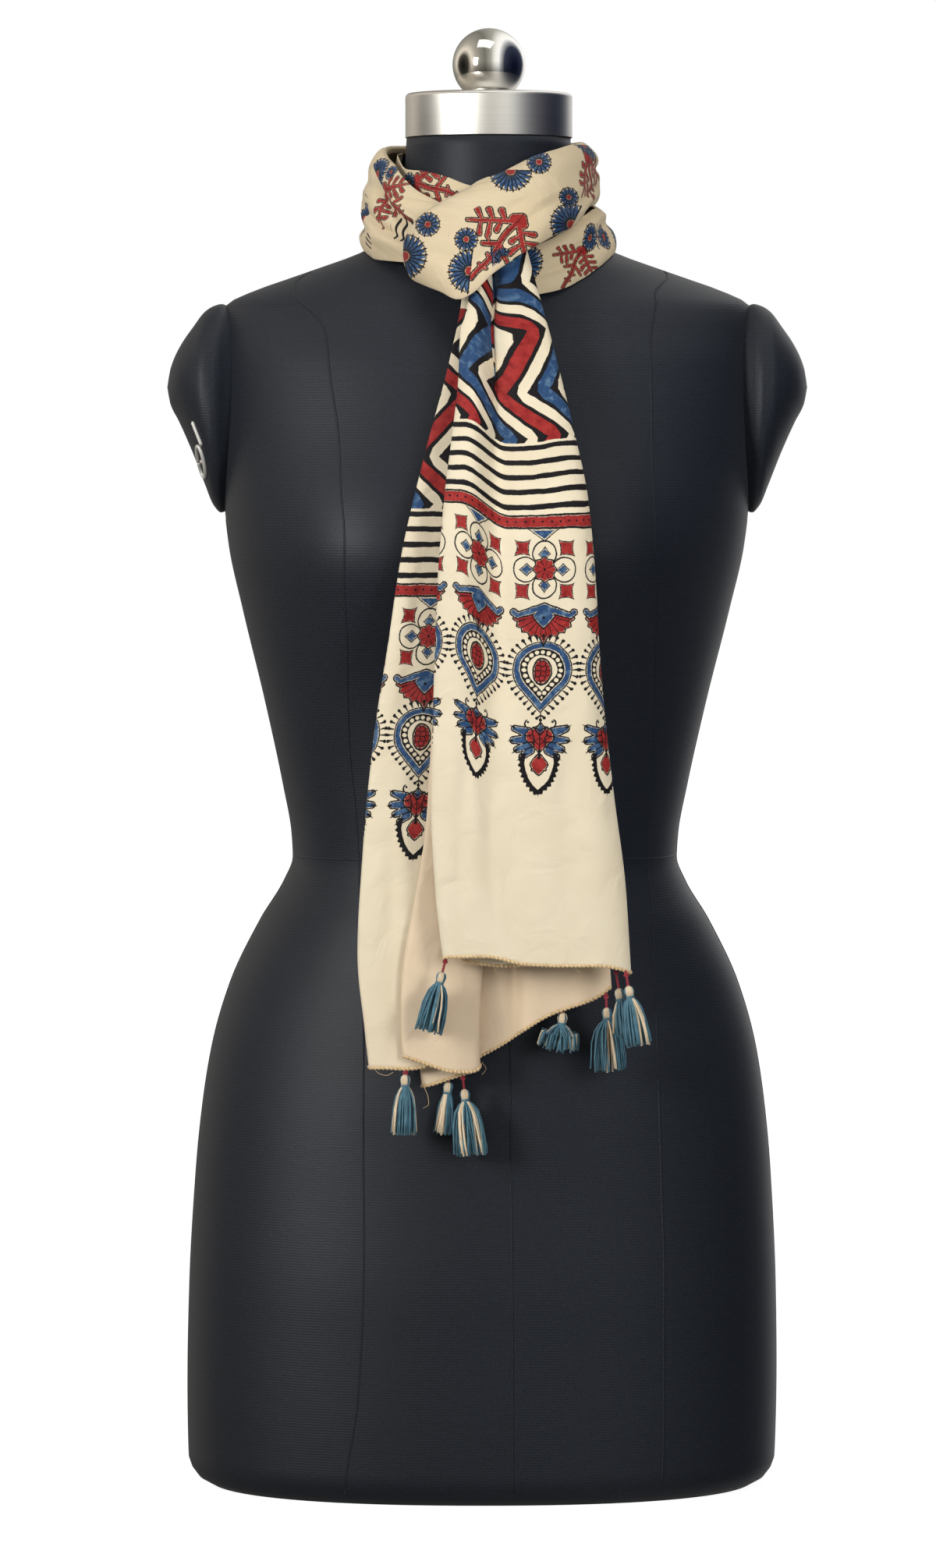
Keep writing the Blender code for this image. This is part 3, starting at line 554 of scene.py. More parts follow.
def clothLook(name, field):
    # Modal twill, piece-dyed cream and printed by hand with wooden blocks: a soft matt cloth with a
    # faint lustre along its folds, inks a little uneven, and edges that wander as a pressed block does
    look, tree, shader = newMaterial(name)
    place = addNode(tree, "Attribute", attribute_name="clothPlace").outputs["Vector"]
    wander = addNode(tree, "TexNoise", {"Vector": place, "Scale": 0.11, "Detail": 3.0})
    shift = addNode(tree, "VectorMath", {0: wander.outputs["Color"], 1: (0.5, 0.5, 0.5)},
                    operation="SUBTRACT")
    moved = addNode(tree, "VectorMath", {0: shift.outputs[0], 1: (1.7, 1.7, 0.0), 2: place},
                    operation="MULTIPLY_ADD")
    # the third number of clothPlace is 0 on the printed face and 1 where plain cloth is turned out. Low on
    # the rear tail it rises to 0.4 as painted shade, which darkens the ground towards the reverse's tan
    across, up, turnedOutAndShaded = Formula(tree, moved.outputs[0]).parts()
    red, blue, black = fieldPrint(tree) if field else borderPrint(across, up)
    speckle = addNode(tree, "TexNoise", {"Vector": place, "Scale": 0.9, "Detail": 4.0})
    ragged = Formula(tree, speckle.outputs["Fac"]) - 0.5
    plain = (turnedOutAndShaded - 0.5) * 40.0
    masks = [ragged.plus(rough, ink).most(plain).inside(inks["edge"]).socket
             for rough, ink in ((0.7, red + 0.1), (0.9, blue + 0.15), (0.5, black))]
    cloud = addNode(tree, "TexNoise", {"Vector": place, "Scale": 0.03, "Detail": 3.0})
    mottle = addNode(tree, "TexNoise", {"Vector": place, "Scale": 0.22, "Detail": 6.0, "Roughness": 0.65})
    pale = addNode(tree, "MapRange", {0: mottle.outputs["Fac"], 1: 0.5, 2: 0.84}).outputs[0]
    deep = addNode(tree, "MapRange", {0: mottle.outputs["Fac"], 1: 0.35, 2: 0.6}).outputs[0]
    light, tan = inks["clothField" if field else "cloth"]
    redInk = addNode(tree, "Mix", {0: deep, 6: toLinear(inks["redDark"]), 7: toLinear(inks["red"])},
                     data_type="RGBA").outputs[2]
    blueInk = addNode(tree, "Mix", {0: pale, 6: toLinear(inks["blue"]), 7: toLinear(inks["bluePale"])},
                      data_type="RGBA").outputs[2]
    # the reverse's tan is also laid on as painted shade low on the rear tail
    layers = [(cloud.outputs["Fac"], toLinear(light)),
              (turnedOutAndShaded.clamped().socket, toLinear(inks["reverse"])),
              (masks[0], redInk), (masks[1], blueInk), (masks[2], toLinear(inks["black"]))]
    colour = toLinear(tan)
    for share, layer in layers:
        colour = addNode(tree, "Mix", {0: share, 6: colour, 7: layer}, data_type="RGBA").outputs[2]
    # twill threads lie 0.35 mm apart, too fine to show, so they are drawn 0.9 mm apart along the
    # cloth, which also keeps slight wrinkles, 15 to 40 mm long
    threads = addNode(tree, "TexWave", {"Vector": place, "Scale": 0.63 / 0.9, "Distortion": 0.6,
                                        "Detail": 2.0}, bands_direction="DIAGONAL")
    wrinkles = addNode(tree, "TexNoise", {"Vector": place, "Scale": 0.045, "Detail": 3.0,
                                          "Distortion": 0.8})
    weave = addNode(tree, "Bump", {"Height": threads.outputs["Fac"], "Strength": 0.06, "Distance": 0.0003})
    crumpled = addNode(tree, "Bump", {"Height": wrinkles.outputs["Fac"], "Strength": 0.5, "Distance": 0.004,
                                      "Normal": weave.outputs[0]})
    fillInputs(tree, shader, {"Base Color": colour, "Normal": crumpled.outputs[0], "Roughness": 0.75,
                              "Specular IOR Level": 0.25, "Sheen Weight": 0.06, "Sheen Roughness": 0.4})
    return look


def jerseyLook():
    # Cotton rib jersey, knitted and pulled tight over padding: matt charcoal with fine level ribs.
    # The real ribs lie about 0.8 mm apart, too fine to show, so they are drawn 1.5 mm apart
    look, tree, shader = newMaterial("ribKnitJersey")
    place = addNode(tree, "TexCoord").outputs["Object"]
    ribs = addNode(tree, "TexWave", {"Vector": place, "Scale": 0.314 / 0.0015, "Distortion": 0.5,
                                     "Detail": 2.0, "Detail Scale": 3.0}, bands_direction="Z")
    fuzz = addNode(tree, "TexNoise", {"Vector": place, "Scale": 900.0, "Detail": 3.0})
    cloud = addNode(tree, "TexNoise", {"Vector": place, "Scale": 9.0, "Detail": 3.0})
    mixed = addNode(tree, "Math", {0: ribs.outputs["Fac"], 1: 0.3, 2: fuzz.outputs["Fac"]},
                    operation="MULTIPLY_ADD")
    shade = addNode(tree, "MapRange", {0: mixed.outputs[0], 1: 0.3, 2: 1.15})
    tint = addNode(tree, "Mix", {0: shade.outputs[0], 6: toLinear("#0F1218"), 7: toLinear("#222730")},
                   data_type="RGBA")
    worn = addNode(tree, "Mix", {0: cloud.outputs["Fac"], 6: (0.82, 0.82, 0.84, 1.0),
                                 7: (1.12, 1.12, 1.1, 1.0)}, data_type="RGBA")
    colour = addNode(tree, "Mix", {0: 1.0, 6: tint.outputs[2], 7: worn.outputs[2]}, data_type="RGBA",
                     blend_type="MULTIPLY")
    bump = addNode(tree, "Bump", {"Height": mixed.outputs[0], "Strength": 0.3, "Distance": 0.0003})
    fillInputs(tree, shader, {"Base Color": colour.outputs[2], "Normal": bump.outputs[0], "Roughness": 0.52,
                              "Specular IOR Level": 0.28, "Sheen Weight": 0.05, "Sheen Roughness": 0.5})
    return look


def steelLook(name, colour, roughness, brushing, hairlines=4200.0):
    # Stainless steel, turned and brushed round its axis with a fine belt: soft highlights drawn out
    # into upright bars, with hairlines that run round, about 0.24 mm apart. Polished or satin steel
    # takes the same nodes with little or no brushing
    look, tree, shader = newMaterial(name)
    place = addNode(tree, "TexCoord").outputs["Object"]
    stretched = addNode(tree, "VectorMath", {0: place, 1: (8.0, 8.0, hairlines)}, operation="MULTIPLY")
    hairs = addNode(tree, "TexNoise", {"Vector": stretched.outputs[0], "Scale": 1.0, "Detail": 4.0})
    cloud = addNode(tree, "TexNoise", {"Vector": place, "Scale": 40.0, "Detail": 2.0})
    tint = addNode(tree, "Mix", {0: hairs.outputs["Fac"], 6: toLinear(colour), 7: toLinear("#E4E1DB")},
                   data_type="RGBA")
    worn = addNode(tree, "MapRange", {0: cloud.outputs["Fac"], 3: roughness - 0.02, 4: roughness + 0.02})
    bump = addNode(tree, "Bump", {"Height": hairs.outputs["Fac"], "Strength": brushing,
                                  "Distance": 0.00002})
    radial = addNode(tree, "Tangent", direction_type="RADIAL", axis="Z")
    fillInputs(tree, shader, {"Base Color": tint.outputs[2], "Roughness": worn.outputs[0],
                              "Normal": bump.outputs[0], "Tangent": radial.outputs[0], "Metallic": 1.0,
                              "Anisotropic": 0.75 if brushing > 0.05 else 0.0})
    return look


def yarnLook(name, deep, pale):
    # Mercerised cotton yarn, dyed in the hank: soft threads with a slight shine and dye that varies
    look, tree, shader = newMaterial(name)
    place = addNode(tree, "TexCoord").outputs["Object"]
    fibre = addNode(tree, "TexNoise", {"Vector": place, "Scale": 1400.0, "Detail": 2.0})
    dye = addNode(tree, "TexNoise", {"Vector": place, "Scale": 220.0, "Detail": 2.0})
    tint = addNode(tree, "Mix", {0: dye.outputs["Fac"], 6: toLinear(deep), 7: toLinear(pale)},
                   data_type="RGBA")
    bump = addNode(tree, "Bump", {"Height": fibre.outputs["Fac"], "Strength": 0.4, "Distance": 0.0002})
    fillInputs(tree, shader, {"Base Color": tint.outputs[2], "Normal": bump.outputs[0], "Roughness": 0.6,
                              "Sheen Weight": 0.2})
    return look


# Camera, floor and lights

photo = {
    "height": 2011.0,
    "focalPixels": 8400.0,  # from the perspective of the neck cap and the form's underside
    "sensor": 36.0,
    "eye": (-0.0098, -3.75, 0.597),
    "tiltDown": 3.0,
}


def addCamera():
    camera = bpy.data.cameras.new("Camera")
    camera.lens = photo["focalPixels"] / photo["height"] * photo["sensor"]
    camera.sensor_width = photo["sensor"]
    camera.clip_end = 50.0
    placed = bpy.data.objects.new("Camera", camera)
    placed.location = photo["eye"]
    placed.rotation_euler = (math.radians(90.0 - photo["tiltDown"]), 0.0, 0.0)
    bpy.context.scene.collection.objects.link(placed)
    bpy.context.scene.camera = placed


studio = {
    "floorColour": "#9A9A9A",
    "floorSize": 30.0,
    "floorGlow": 0.92,
    "floorBounce": 0.06,
    "ambient": 0.3,
    "mirrored": 1.5,  # how bright the room is in the metal, next to its colours
    # what the metal mirrors, by how far to the right it lies, -1 to 1
    "room": [(-0.99, "#1E1D1B"), (-0.93, "#4A463F"), (-0.83, "#E4DACC"), (-0.66, "#A8A298"),
             (-0.48, "#8F8C84"), (-0.2, "#73716A"), (0.1, "#A3A19A"), (0.34, "#F4F3EF"),
             (0.5, "#FFFFFF"), (0.64, "#A4A6AA"), (0.76, "#343A4B"), (0.99, "#0D1226")],
    "lights": [
        # name, place, aimed at, width, height, how wide it spreads in degrees, watts
        ("keyLeft", (-1.8, -1.95, 1.1), (0.0, 0.0, 0.49), 0.6, 1.1, 36.0, 2.65),
        ("fillRight", (1.4, -2.3, 1.2), (0.05, 0.0, 0.62), 0.7, 1.4, 36.0, 2.4),
        ("topSoft", (-0.3, -0.7, 2.6), (0.0, 0.0, 0.5), 1.4, 1.0, 180.0, 6.0),
    ],
}


def addStudio():
    bpy.ops.mesh.primitive_plane_add(size=studio["floorSize"], location=(0.0, 0.0, 0.0))
    floor = bpy.context.object
    floor.name = "floor"
    look, tree, shader = newMaterial("paintedFloor")
    # the floor looks white but throws little light up
    seen = addNode(tree, "LightPath").outputs["Is Camera Ray"]
    glow = addNode(tree, "MapRange", {0: seen, 3: studio["floorBounce"], 4: studio["floorGlow"]})
    fillInputs(tree, shader, {"Base Color": toLinear(studio["floorColour"]), "Roughness": 0.9,
                              "Emission Color": (1.0, 1.0, 1.0, 1.0), "Emission Strength": glow.outputs[0]})
    floor.data.materials.append(look)
    floor.visible_glossy = False
    world = bpy.data.worlds.new("Studio")
    bpy.context.scene.world = world
    world.use_nodes = True
    tree = world.node_tree
    back = tree.nodes["Background"]
    split = addNode(tree, "SeparateXYZ", {0: addNode(tree, "TexCoord").outputs["Generated"]})
    across = addNode(tree, "MapRange", {0: split.outputs[0], 1: -1.0, 2: 1.0})
    ramp = addNode(tree, "ValToRGB", {0: across.outputs[0]})
    stops = ramp.color_ramp.elements
    for place, colour in studio["room"][1:-1]:
        stops.new((place + 1) / 2).color = toLinear(colour)
    stops[0].color, stops[len(stops) - 1].color = [toLinear(studio["room"][end][1]) for end in (0, -1)]
    # the ball mirrors the dark shoulders below it
    low = addNode(tree, "MapRange", {0: split.outputs[2], 1: -0.5, 2: 0.15, 3: 0.3, 4: studio["mirrored"]})
    room = addNode(tree, "VectorMath", {0: ramp.outputs[0], "Scale": low.outputs[0]}, operation="SCALE")
    path = addNode(tree, "LightPath")
    level = studio["ambient"]
    glossy = addNode(tree, "Mix", {0: path.outputs["Is Glossy Ray"], 6: (level, level, level, 1.0),
                                   7: room.outputs[0]}, data_type="RGBA")
    seen = addNode(tree, "Mix", {0: path.outputs["Is Camera Ray"], 6: glossy.outputs[2],
                                 7: (1.0, 1.0, 1.0, 1.0)}, data_type="RGBA")
    tree.links.new(seen.outputs[2], back.inputs["Color"])
    for name, place, aim, width, height, spread, watts in studio["lights"]:
        lamp = bpy.data.lights.new(name, "AREA")
        lamp.shape = "RECTANGLE"
        lamp.size, lamp.size_y, lamp.energy = width, height, watts
        lamp.spread = math.radians(spread)
        placed = bpy.data.objects.new(name, lamp)
        placed.location = place
        placed.rotation_euler = (Vector(aim) - Vector(place)).to_track_quat("-Z", "Y").to_euler()
        # the metal mirrors the room and the key light, not the fill
        placed.visible_glossy = name != "fillRight"
        bpy.context.scene.collection.objects.link(placed)
    bpy.context.scene.view_settings.view_transform = "Standard"


# The dress form

Level = namedtuple("Level", "height halfWidth front back fullness")
torso = [Level(*row) for row in [
    (0, 156, 100, 100, 2.3), (4, 163, 106.5, 106.5, 2.3), (14, 168.5, 111, 111, 2.3),
    (60, 169.3, 112, 113, 2.3), (110, 168.5, 112, 114, 2.3), (180, 164.8, 108, 108, 2.25),
    (216, 161.3, 106, 102, 2.2), (251, 155.8, 103, 94, 2.15), (287, 145.5, 99, 84, 2.1),
    (323, 128.3, 94, 75, 2.1), (345, 115, 90, 70, 2.1), (359, 109.8, 88, 68, 2.1),
    (372, 110.5, 88.5, 68, 2.1), (400, 115.5, 91, 71, 2.1), (448, 126, 98, 79, 2.2),
    (501, 139, 108, 88, 2.25), (537, 147, 112, 93, 2.3), (560, 149.5, 110, 95, 2.3),
    (600, 151, 100, 97, 2.3), (640, 151.5, 88, 96, 2.2), (662, 151.5, 78, 92, 2),
    (674, 149.5, 72, 87, 1.85), (681, 137, 68.5, 83, 1.75), (689, 115, 65, 77, 1.7),
    (697, 92, 62, 70, 1.75), (704, 73, 59, 64, 1.85), (712, 60, 56, 58, 1.95), (724, 51.5, 53, 54, 2),
    (740, 48.5, 51, 50.5, 2), (neckTop, 46.8, 49, 47, 2),
]]
bust = {"height": 535.0, "outTo": 70.0, "rise": 20.0, "spreadX": 38.0, "spreadZ": 42.0}
form = {"around": 144, "ringStep": 5.0, "padAround": 64}


def formRadius(turn, height):
    # how far the form's skin lies from the neck's axis in this direction
    side, ahead = np.sin(np.radians(turn)), np.cos(np.radians(turn))
    depth = np.where(ahead > 0, readRows(torso, "front", height), readRows(torso, "back", height))
    power = readRows(torso, "fullness", height)
    wide = np.abs(side / readRows(torso, "halfWidth", height)) ** power
    radius = (wide + np.abs(ahead / depth) ** power) ** (-1 / power)
    lobe = bell(radius * np.abs(side) - bust["outTo"], bust["spreadX"])
    rise = bust["rise"] * ahead * lobe * bell(height - bust["height"], bust["spreadZ"])
    return radius + np.where(ahead > 0, rise, 0.0)


def onCircle(turn, radius, height):
    angle = np.radians(turn)
    return np.stack([lean(height) + radius * np.sin(angle), -radius * np.cos(angle), height], axis=-1)


def clearOfForm(turn, radius, height, clear=1.1):
    # moves points straight out of the form's skin until the cloth there is clear
    for _ in range(4):
        slope = (formRadius(turn, height + 2.0) - formRadius(turn, height - 2.0)) / 4.0
        steepness = np.hypot(1.0, slope)
        short = np.maximum(clear - (radius - formRadius(turn, height)) / steepness, 0.0)
        radius = radius + short / steepness
        height = height - slope / steepness * short
    return radius, height


def buildTorso(look):
    heights = []
    for lower, upper in zip(torso, torso[1:]):
        rings = math.ceil((upper.height - lower.height) / form["ringStep"])
        heights += np.linspace(lower.height, upper.height, max(1, rings) + 1)[:-1].tolist()
    heights.append(neckTop)
    around = form["around"]
    turn, height = np.meshgrid(np.arange(around) * 360.0 / around, heights)
    points = onCircle(turn, formRadius(turn, height), height)
    faces = gridFaces(len(heights), around, closed=True).tolist()
    rim = list(range(around))
    faces += [rim[::-1], [(len(heights) - 1) * around + k for k in rim]]
    return addPiece("formTorso", points, faces, look, ["form_torso"])


Disc = namedtuple("Disc", "out low high halfDepth")
shoulderPad = [Disc(*row) for row in [
    (134, 562, 668, 30), (146, 558, 673, 33.5), (151.85, 556, 675, 39), (156, 560, 674, 40.8),
    (161, 572, 671, 40), (168, 590, 662, 35), (176, 608, 650, 25), (181, 618, 638, 12),
    (182.8, 627.5, 627.5, 0),
]]
# where the pad's rings stand: a few inside the armhole, even steps over its curve, then its tip
padRings = {"inside": [134.0, 140.0, 146.0, 151.0], "curve": (152.2, 181.0, 30),
            "tip": [182.0, 182.6, 182.8]}


def buildPad(name, side, look, node):
    outs = np.concatenate([padRings["inside"], np.linspace(*padRings["curve"]), padRings["tip"]])
    around = form["padAround"]
    angle, out = np.meshgrid(np.radians(np.arange(around) * 360.0 / around), outs)
    low, high = readRows(shoulderPad, "low", out), readRows(shoulderPad, "high", out)
    depth = readRows(shoulderPad, "halfDepth", out) * np.sin(angle) * side
    height = (low + high) / 2 + (high - low) / 2 * np.cos(angle)
    points = np.stack([out * side + lean(height), depth, height], axis=-1)
    faces = gridFaces(len(outs), around, closed=True).tolist()
    faces.append(list(range(around))[::-1])
    faces.append([(len(outs) - 1) * around + k for k in range(around)])
    return addPiece(name, points, faces, look, [node])


# Sewn seams of the jersey cover: turn and height along each
seams = {
    "ridge": 0.7,
    "sunk": 0.3,
    "lines": {
        "sideFrontLeft": [(-84.0, 693.0), (-55.8, 660.5), (-47.0, 625.0), (-39.1, 582.0), (-34.2, 538.8),
                          (-37.2, 495.2), (-42.8, 451.0), (-45.9, 406.7), (-46.0, 363.4), (-40.4, 319.5),
                          (-35.7, 254.7), (-33.8, 189.6), (-32.4, 124.4), (-33.3, 67.4), (-37.3, 7.1)],
        "sideFrontRight": [(84.0, 693.0), (64.7, 681.0), (55.7, 660.5), (52.2, 647.3), (46.6, 603.6),
                           (42.2, 565.5), (41.0, 538.7), (46.2, 494.9), (53.2, 450.5), (59.0, 405.9),
                           (61.3, 362.2), (52.1, 296.9), (48.3, 210.3), (47.4, 144.9), (46.9, 101.1),
                           (47.2, 7.0)],
        "backLeft": [(-98.0, 693.0), (-120.0, 655.0), (-134.0, 590.0), (-139.0, 520.0), (-141.0, 440.0),
                     (-143.0, 362.0), (-146.0, 280.0), (-148.0, 160.0), (-148.0, 7.0)],
        "backRight": [(98.0, 693.0), (120.0, 655.0), (134.0, 590.0), (139.0, 520.0), (141.0, 440.0),
                      (143.0, 362.0), (146.0, 280.0), (148.0, 160.0), (148.0, 7.0)],
        "backMiddle": [(180.0, 720.0), (180.0, 560.0), (180.0, 362.0), (180.0, 200.0), (180.0, 7.0)],
        "frontMiddle": [(8.0, 360.0), (8.1, 199.0), (8.5, 103.3), (8.9, 7.0)],
        "sideLeft": [(-90.0, 552.0), (-90.0, 450.0), (-90.0, 362.0), (-90.0, 250.0), (-90.0, 7.0)],
        "sideRight": [(90.0, 552.0), (90.0, 450.0), (90.0, 362.0), (90.0, 250.0), (90.0, 7.0)],
        "waist": [(turn, 361.5 + 1.2 * math.cos(math.radians(turn * 2))) for turn in range(-180, 181, 20)],
    },
}


def spline(points, steps):
    # an even curve through the points of a line
    points = np.asarray(points, float)
    at = np.linspace(0, len(points) - 1, steps)
    step = namedtuple("Step", "at value")
    columns = [[step(i, value) for i, value in enumerate(column)] for column in points.T]
    return np.stack([readRows(column, "value", at) for column in columns], axis=-1)


def buildSeams(look):
    bundle = Bundle()
    for line in seams["lines"].values():
        path = spline(line, 160)
        turn, height = path[:, 0], path[:, 1]
        bundle.tube(onCircle(turn, formRadius(turn, height) - seams["sunk"], height), seams["ridge"], 6)
    bundle.make("formSeams", [look])


fitting = {"out": 162.0, "height": 585.0, "ringHalf": (1.7, 8.8), "ringThick": 1.2,
           "barFoot": (161.4, 594.0), "barTop": (167.0, 608.0), "barThick": 1.15}


def padSkin(out, height, side, proud):
    # a place on the left pad's front or the right pad's back, by how far out and how high it lies
    low, high = readRows(shoulderPad, "low", out), readRows(shoulderPad, "high", out)
    share = (height - (low + high) / 2) / ((high - low) / 2)
    depth = readRows(shoulderPad, "halfDepth", out) * np.sqrt(np.maximum(1 - share**2, 0.0))
    return np.stack([(out + proud * 0.5) * side + lean(height), (depth + proud) * side, height], axis=-1)


def buildFittings(steel, brass):
    # the ring and pin that hold a display arm, let into the lower face of each shoulder pad
    for side, name in ((-1, "Left"), (1, "Right")):
        bundle = Bundle()
        angles = np.linspace(0, 2 * math.pi, 49)
        wide, tall = fitting["ringHalf"]
        out = fitting["out"] + wide * np.cos(angles) + 0.2 * tall * np.sin(angles)
        height = fitting["height"] + tall * np.sin(angles)
        bundle.tube(padSkin(out, height, side, 0.5), fitting["ringThick"], 12, 0)
        middle = np.full(4, fitting["out"]), np.full(4, fitting["height"])
        centre = padSkin(*middle, side, np.linspace(-1.0, 0.7, 4))
        bundle.tube(centre, [1.1, 1.4, 1.4, 1.0], 16, 1)
        ends = [np.linspace(a, b, 14) for a, b in zip(fitting["barFoot"], fitting["barTop"])]
        thick = fitting["barThick"] * np.array([0.4] + [1.0] * 12 + [0.4])
        bundle.tube(padSkin(*ends, side, 0.3), thick, 12, 0)
        bundle.make("armFitting" + name, [steel, brass])


# The stole round the neck: each row is the band's section at one angle

Section = namedtuple("Section", "turn topRadius top lowRadius low bulge depth")
wrapRows = [Section(*row) for row in [
    (130.5, 56, 766.5, 70, 712, 5, 7), (155, 57, 767.5, 71, 713, 6, 8), (180, 58, 768, 72, 714, 6, 8),
    (215, 60, 767.5, 72, 711, 5, 8), (250, 63, 766, 72.5, 707.5, 4, 7.5),
    (272, 64, 762.5, 73.5, 707.5, 3.5, 8.5), (290, 61.5, 755.5, 75.5, 703.5, 5, 7),
    (305, 60.5, 747, 76.5, 699, 6, 3.5), (320, 61.5, 738, 80, 697, 5, 3), (335, 63.5, 731, 83, 696, 3, 3),
    (344, 66, 725, 84, 704, 2, 3),
]]
collarRows = [Section(*row) for row in [
    (250, 51.5, 767, 56, 722, 0.5, 0.4), (276, 51, 764, 55.5, 719, 0.5, 0.4),
    (297, 51.5, 755.5, 56, 716, 0.5, 0.4), (316, 51.5, 753.5, 56.5, 716, 0.5, 0.4),
    (332, 51.5, 750, 57, 715, 0.5, 0.4), (347, 51.5, 744.5, 57, 714, 0.5, 0.4),
    (368, 51.5, 740, 57, 713, 0.5, 0.4),
]]
frontRows = [Section(*row) for row in [
    (130, 55, 767.5, 64, 740, 4.5, 6), (110, 54.5, 768, 63.5, 735.5, 4.5, 6),
    (90, 55, 767.5, 62.5, 732, 4, 6), (70, 56.5, 766, 64, 730.5, 4, 6),
    (55, 58.5, 764.5, 68.5, 727, 4.5, 6), (43, 61, 762.5, 77, 721, 5.5, 6), (25, 64, 758, 95, 714.5, 7, 5),
    (15, 65, 753, 104, 707, 8, 4.5), (8, 66, 749, 107.5, 699, 8, 4), (1, 67, 746, 109, 690, 8.5, 4),
    (-5, 69, 743, 109, 679, 9.5, 4), (-9, 71, 739.5, 108, 676, 10, 4), (-15, 75, 735, 104.5, 681, 10, 4.5),
    (-22, 81, 729, 99, 685, 8, 5), (-28, 86, 721, 93, 688, 5, 5), (-32, 87, 712, 88, 694, 2, 4),
]]
underRows = [Section(*row) for row in [
    (130, 63.5, 738, 71, 713, 4, 5), (110, 63, 733.6, 72, 708, 3, 5), (90, 62, 730, 73, 707, 2.5, 4),
    (70, 63, 728.4, 75.5, 701.5, 3, 3), (55, 66, 725, 77, 694, 4, 2.5), (42, 69, 719, 77.5, 686.5, 3, 3),
    (30, 72, 711, 78.5, 681, 2, 3), (18, 72.5, 705, 78, 678, 1.5, 3), (6, 72.5, 700, 77.5, 676, 1, 3),
    (-6, 72.5, 698, 77, 675, 1, 3),
]]

# Long folds along a band: where each starts and ends, how far down the face it runs there, how far
# it stands out or sinks in, and how wide it is as a share of the face
Fold = namedtuple("Fold", "start end downAtStart downAtEnd rise spread")
wrapFolds = [Fold(*row) for row in [
    (95, 205, 0.53, 0.48, -5, 0.09), (131, 262, 0.3, 0.42, 2.2, 0.09), (150, 340, 0.78, 0.62, -2.4, 0.07),
    (225, 330, 0.34, 0.3, -2, 0.06), (283, 338, 0.18, 0.62, -4.6, 0.06), (272, 335, 0.62, 0.88, 3, 0.06),
    (262, 342, 0.48, 0.76, -2.8, 0.03), (296, 343, 0.24, 0.5, 2.4, 0.03), (240, 312, 0.86, 0.7, -3.6, 0.05),
]]
frontFolds = [Fold(*row) for row in [
    (128, 20, 0.3, 0.24, 1.6, 0.1), (100, 5, 0.72, 0.8, -2.4, 0.06), (76, 14, 0.88, 0.9, 2, 0.04),
    (62, -20, 0.5, 0.3, -1.2, 0.09), (16, -24, 0.92, 0.66, -2.4, 0.05), (6, -30, 0.74, 0.4, 1.6, 0.07),
    (44, -10, 0.6, 0.84, -2.2, 0.035), (30, -14, 0.46, 0.66, 1.2, 0.03), (118, 60, 0.52, 0.4, -1.8, 0.045),
]]
underFolds = [Fold(*row) for row in [
    (125, 20, 0.42, 0.4, -2.2, 0.1), (112, 8, 0.22, 0.18, 1.6, 0.07), (80, 2, 0.66, 0.58, -2.4, 0.06),
    (70, 16, 0.36, 0.3, 1.4, 0.04),
]]
cloth = {"thickness": 0.6, "turnStep": 1.4, "faceSteps": 30, "roundness": 0.65}


def acrossShares(count):
    # even steps down the face, then round each edge and in behind it
    face = np.linspace(0.02, 0.98, count)
    angles = np.degrees(np.arcsin(signedPower(1 - 2 * face, 1 / cloth["roundness"])))
    edge = [100.0, 96.0, 92.0, 88.0, 84.0]
    turns = np.concatenate([edge, angles[np.abs(angles) < 82.0], [-a for a in edge[::-1]]])
    return turns / 100.0


def bandPoints(rows, folds, turn, share):
    section = {key: readRows(rows, key, turn) for key in rows[0]._fields[1:]}
    edge = 90 + 12.0 * (section["depth"] - 4.5)
    angle = np.radians(edge * share)
    down = 0.5 - 0.5 * signedPower(np.sin(angle), cloth["roundness"])
    run = np.stack([section["lowRadius"] - section["topRadius"], section["low"] - section["top"]], axis=-1)
    outward = np.stack([-run[..., 1], run[..., 0]], axis=-1)
    outward /= np.linalg.norm(outward, axis=-1, keepdims=True)
    out = section["bulge"] * (1 - np.abs(2 * down - 1) ** 3)
    out += section["depth"] / 2 * (signedPower(np.cos(angle), cloth["roundness"]) - 1)
    rise = 0.0
    for fold in folds:
        part = np.clip((turn - fold.start) / (fold.end - fold.start), 0.0, 1.0)
        middle = fold.downAtStart + (fold.downAtEnd - fold.downAtStart) * part
        rise = rise + fold.rise * np.sin(math.pi * part) * bell(down - middle, fold.spread)
    out += np.where(np.cos(angle) > 0, rise, 0.0)
    spot = run * down[..., None] + outward * out[..., None]
    radius = section["topRadius"] + spot[..., 0]
    height = section["top"] + spot[..., 1]
    return onCircle(turn, *clearOfForm(turn, radius, height))


# Where the printed motifs fall on the middle of the stole: the turn round the neck, millimetres down
# from the band's top edge, and how far each is turned from upright. A flat one is laid out square to
# the front instead of along the band
Motif = namedtuple("Motif", "kind turn down spin size flat", defaults=[False])
wrapMotifs = [Motif(*row) for row in [
    ("spray", 310, 19, 76, 0.85), ("fan", 288, 16, -15, 1), ("flower", 298, 6, 0, 0.8),
    ("fan", 290, 44, 75, 1), ("flower", 262, 22, 0, 1), ("spray", 244, 44, 20, 1), ("fan", 224, 14, 180, 1),
    ("flower", 214, 52, 0, 1), ("spray", 196, 40, -35, 1), ("fan", 173, 62, 20, 1),
    ("flower", 168, 22, 0, 1), ("spray", 152, 42, 12, 0.9), ("bars", 320, 29, 10, 0.75),
    ("bars", 299, 50, 60, 0.4),
]]
collarMotifs = [Motif(*row) for row in [
    ("spray", 328, 9, 84, 0.9), ("flower", 303, 8, 0, 1),
]]
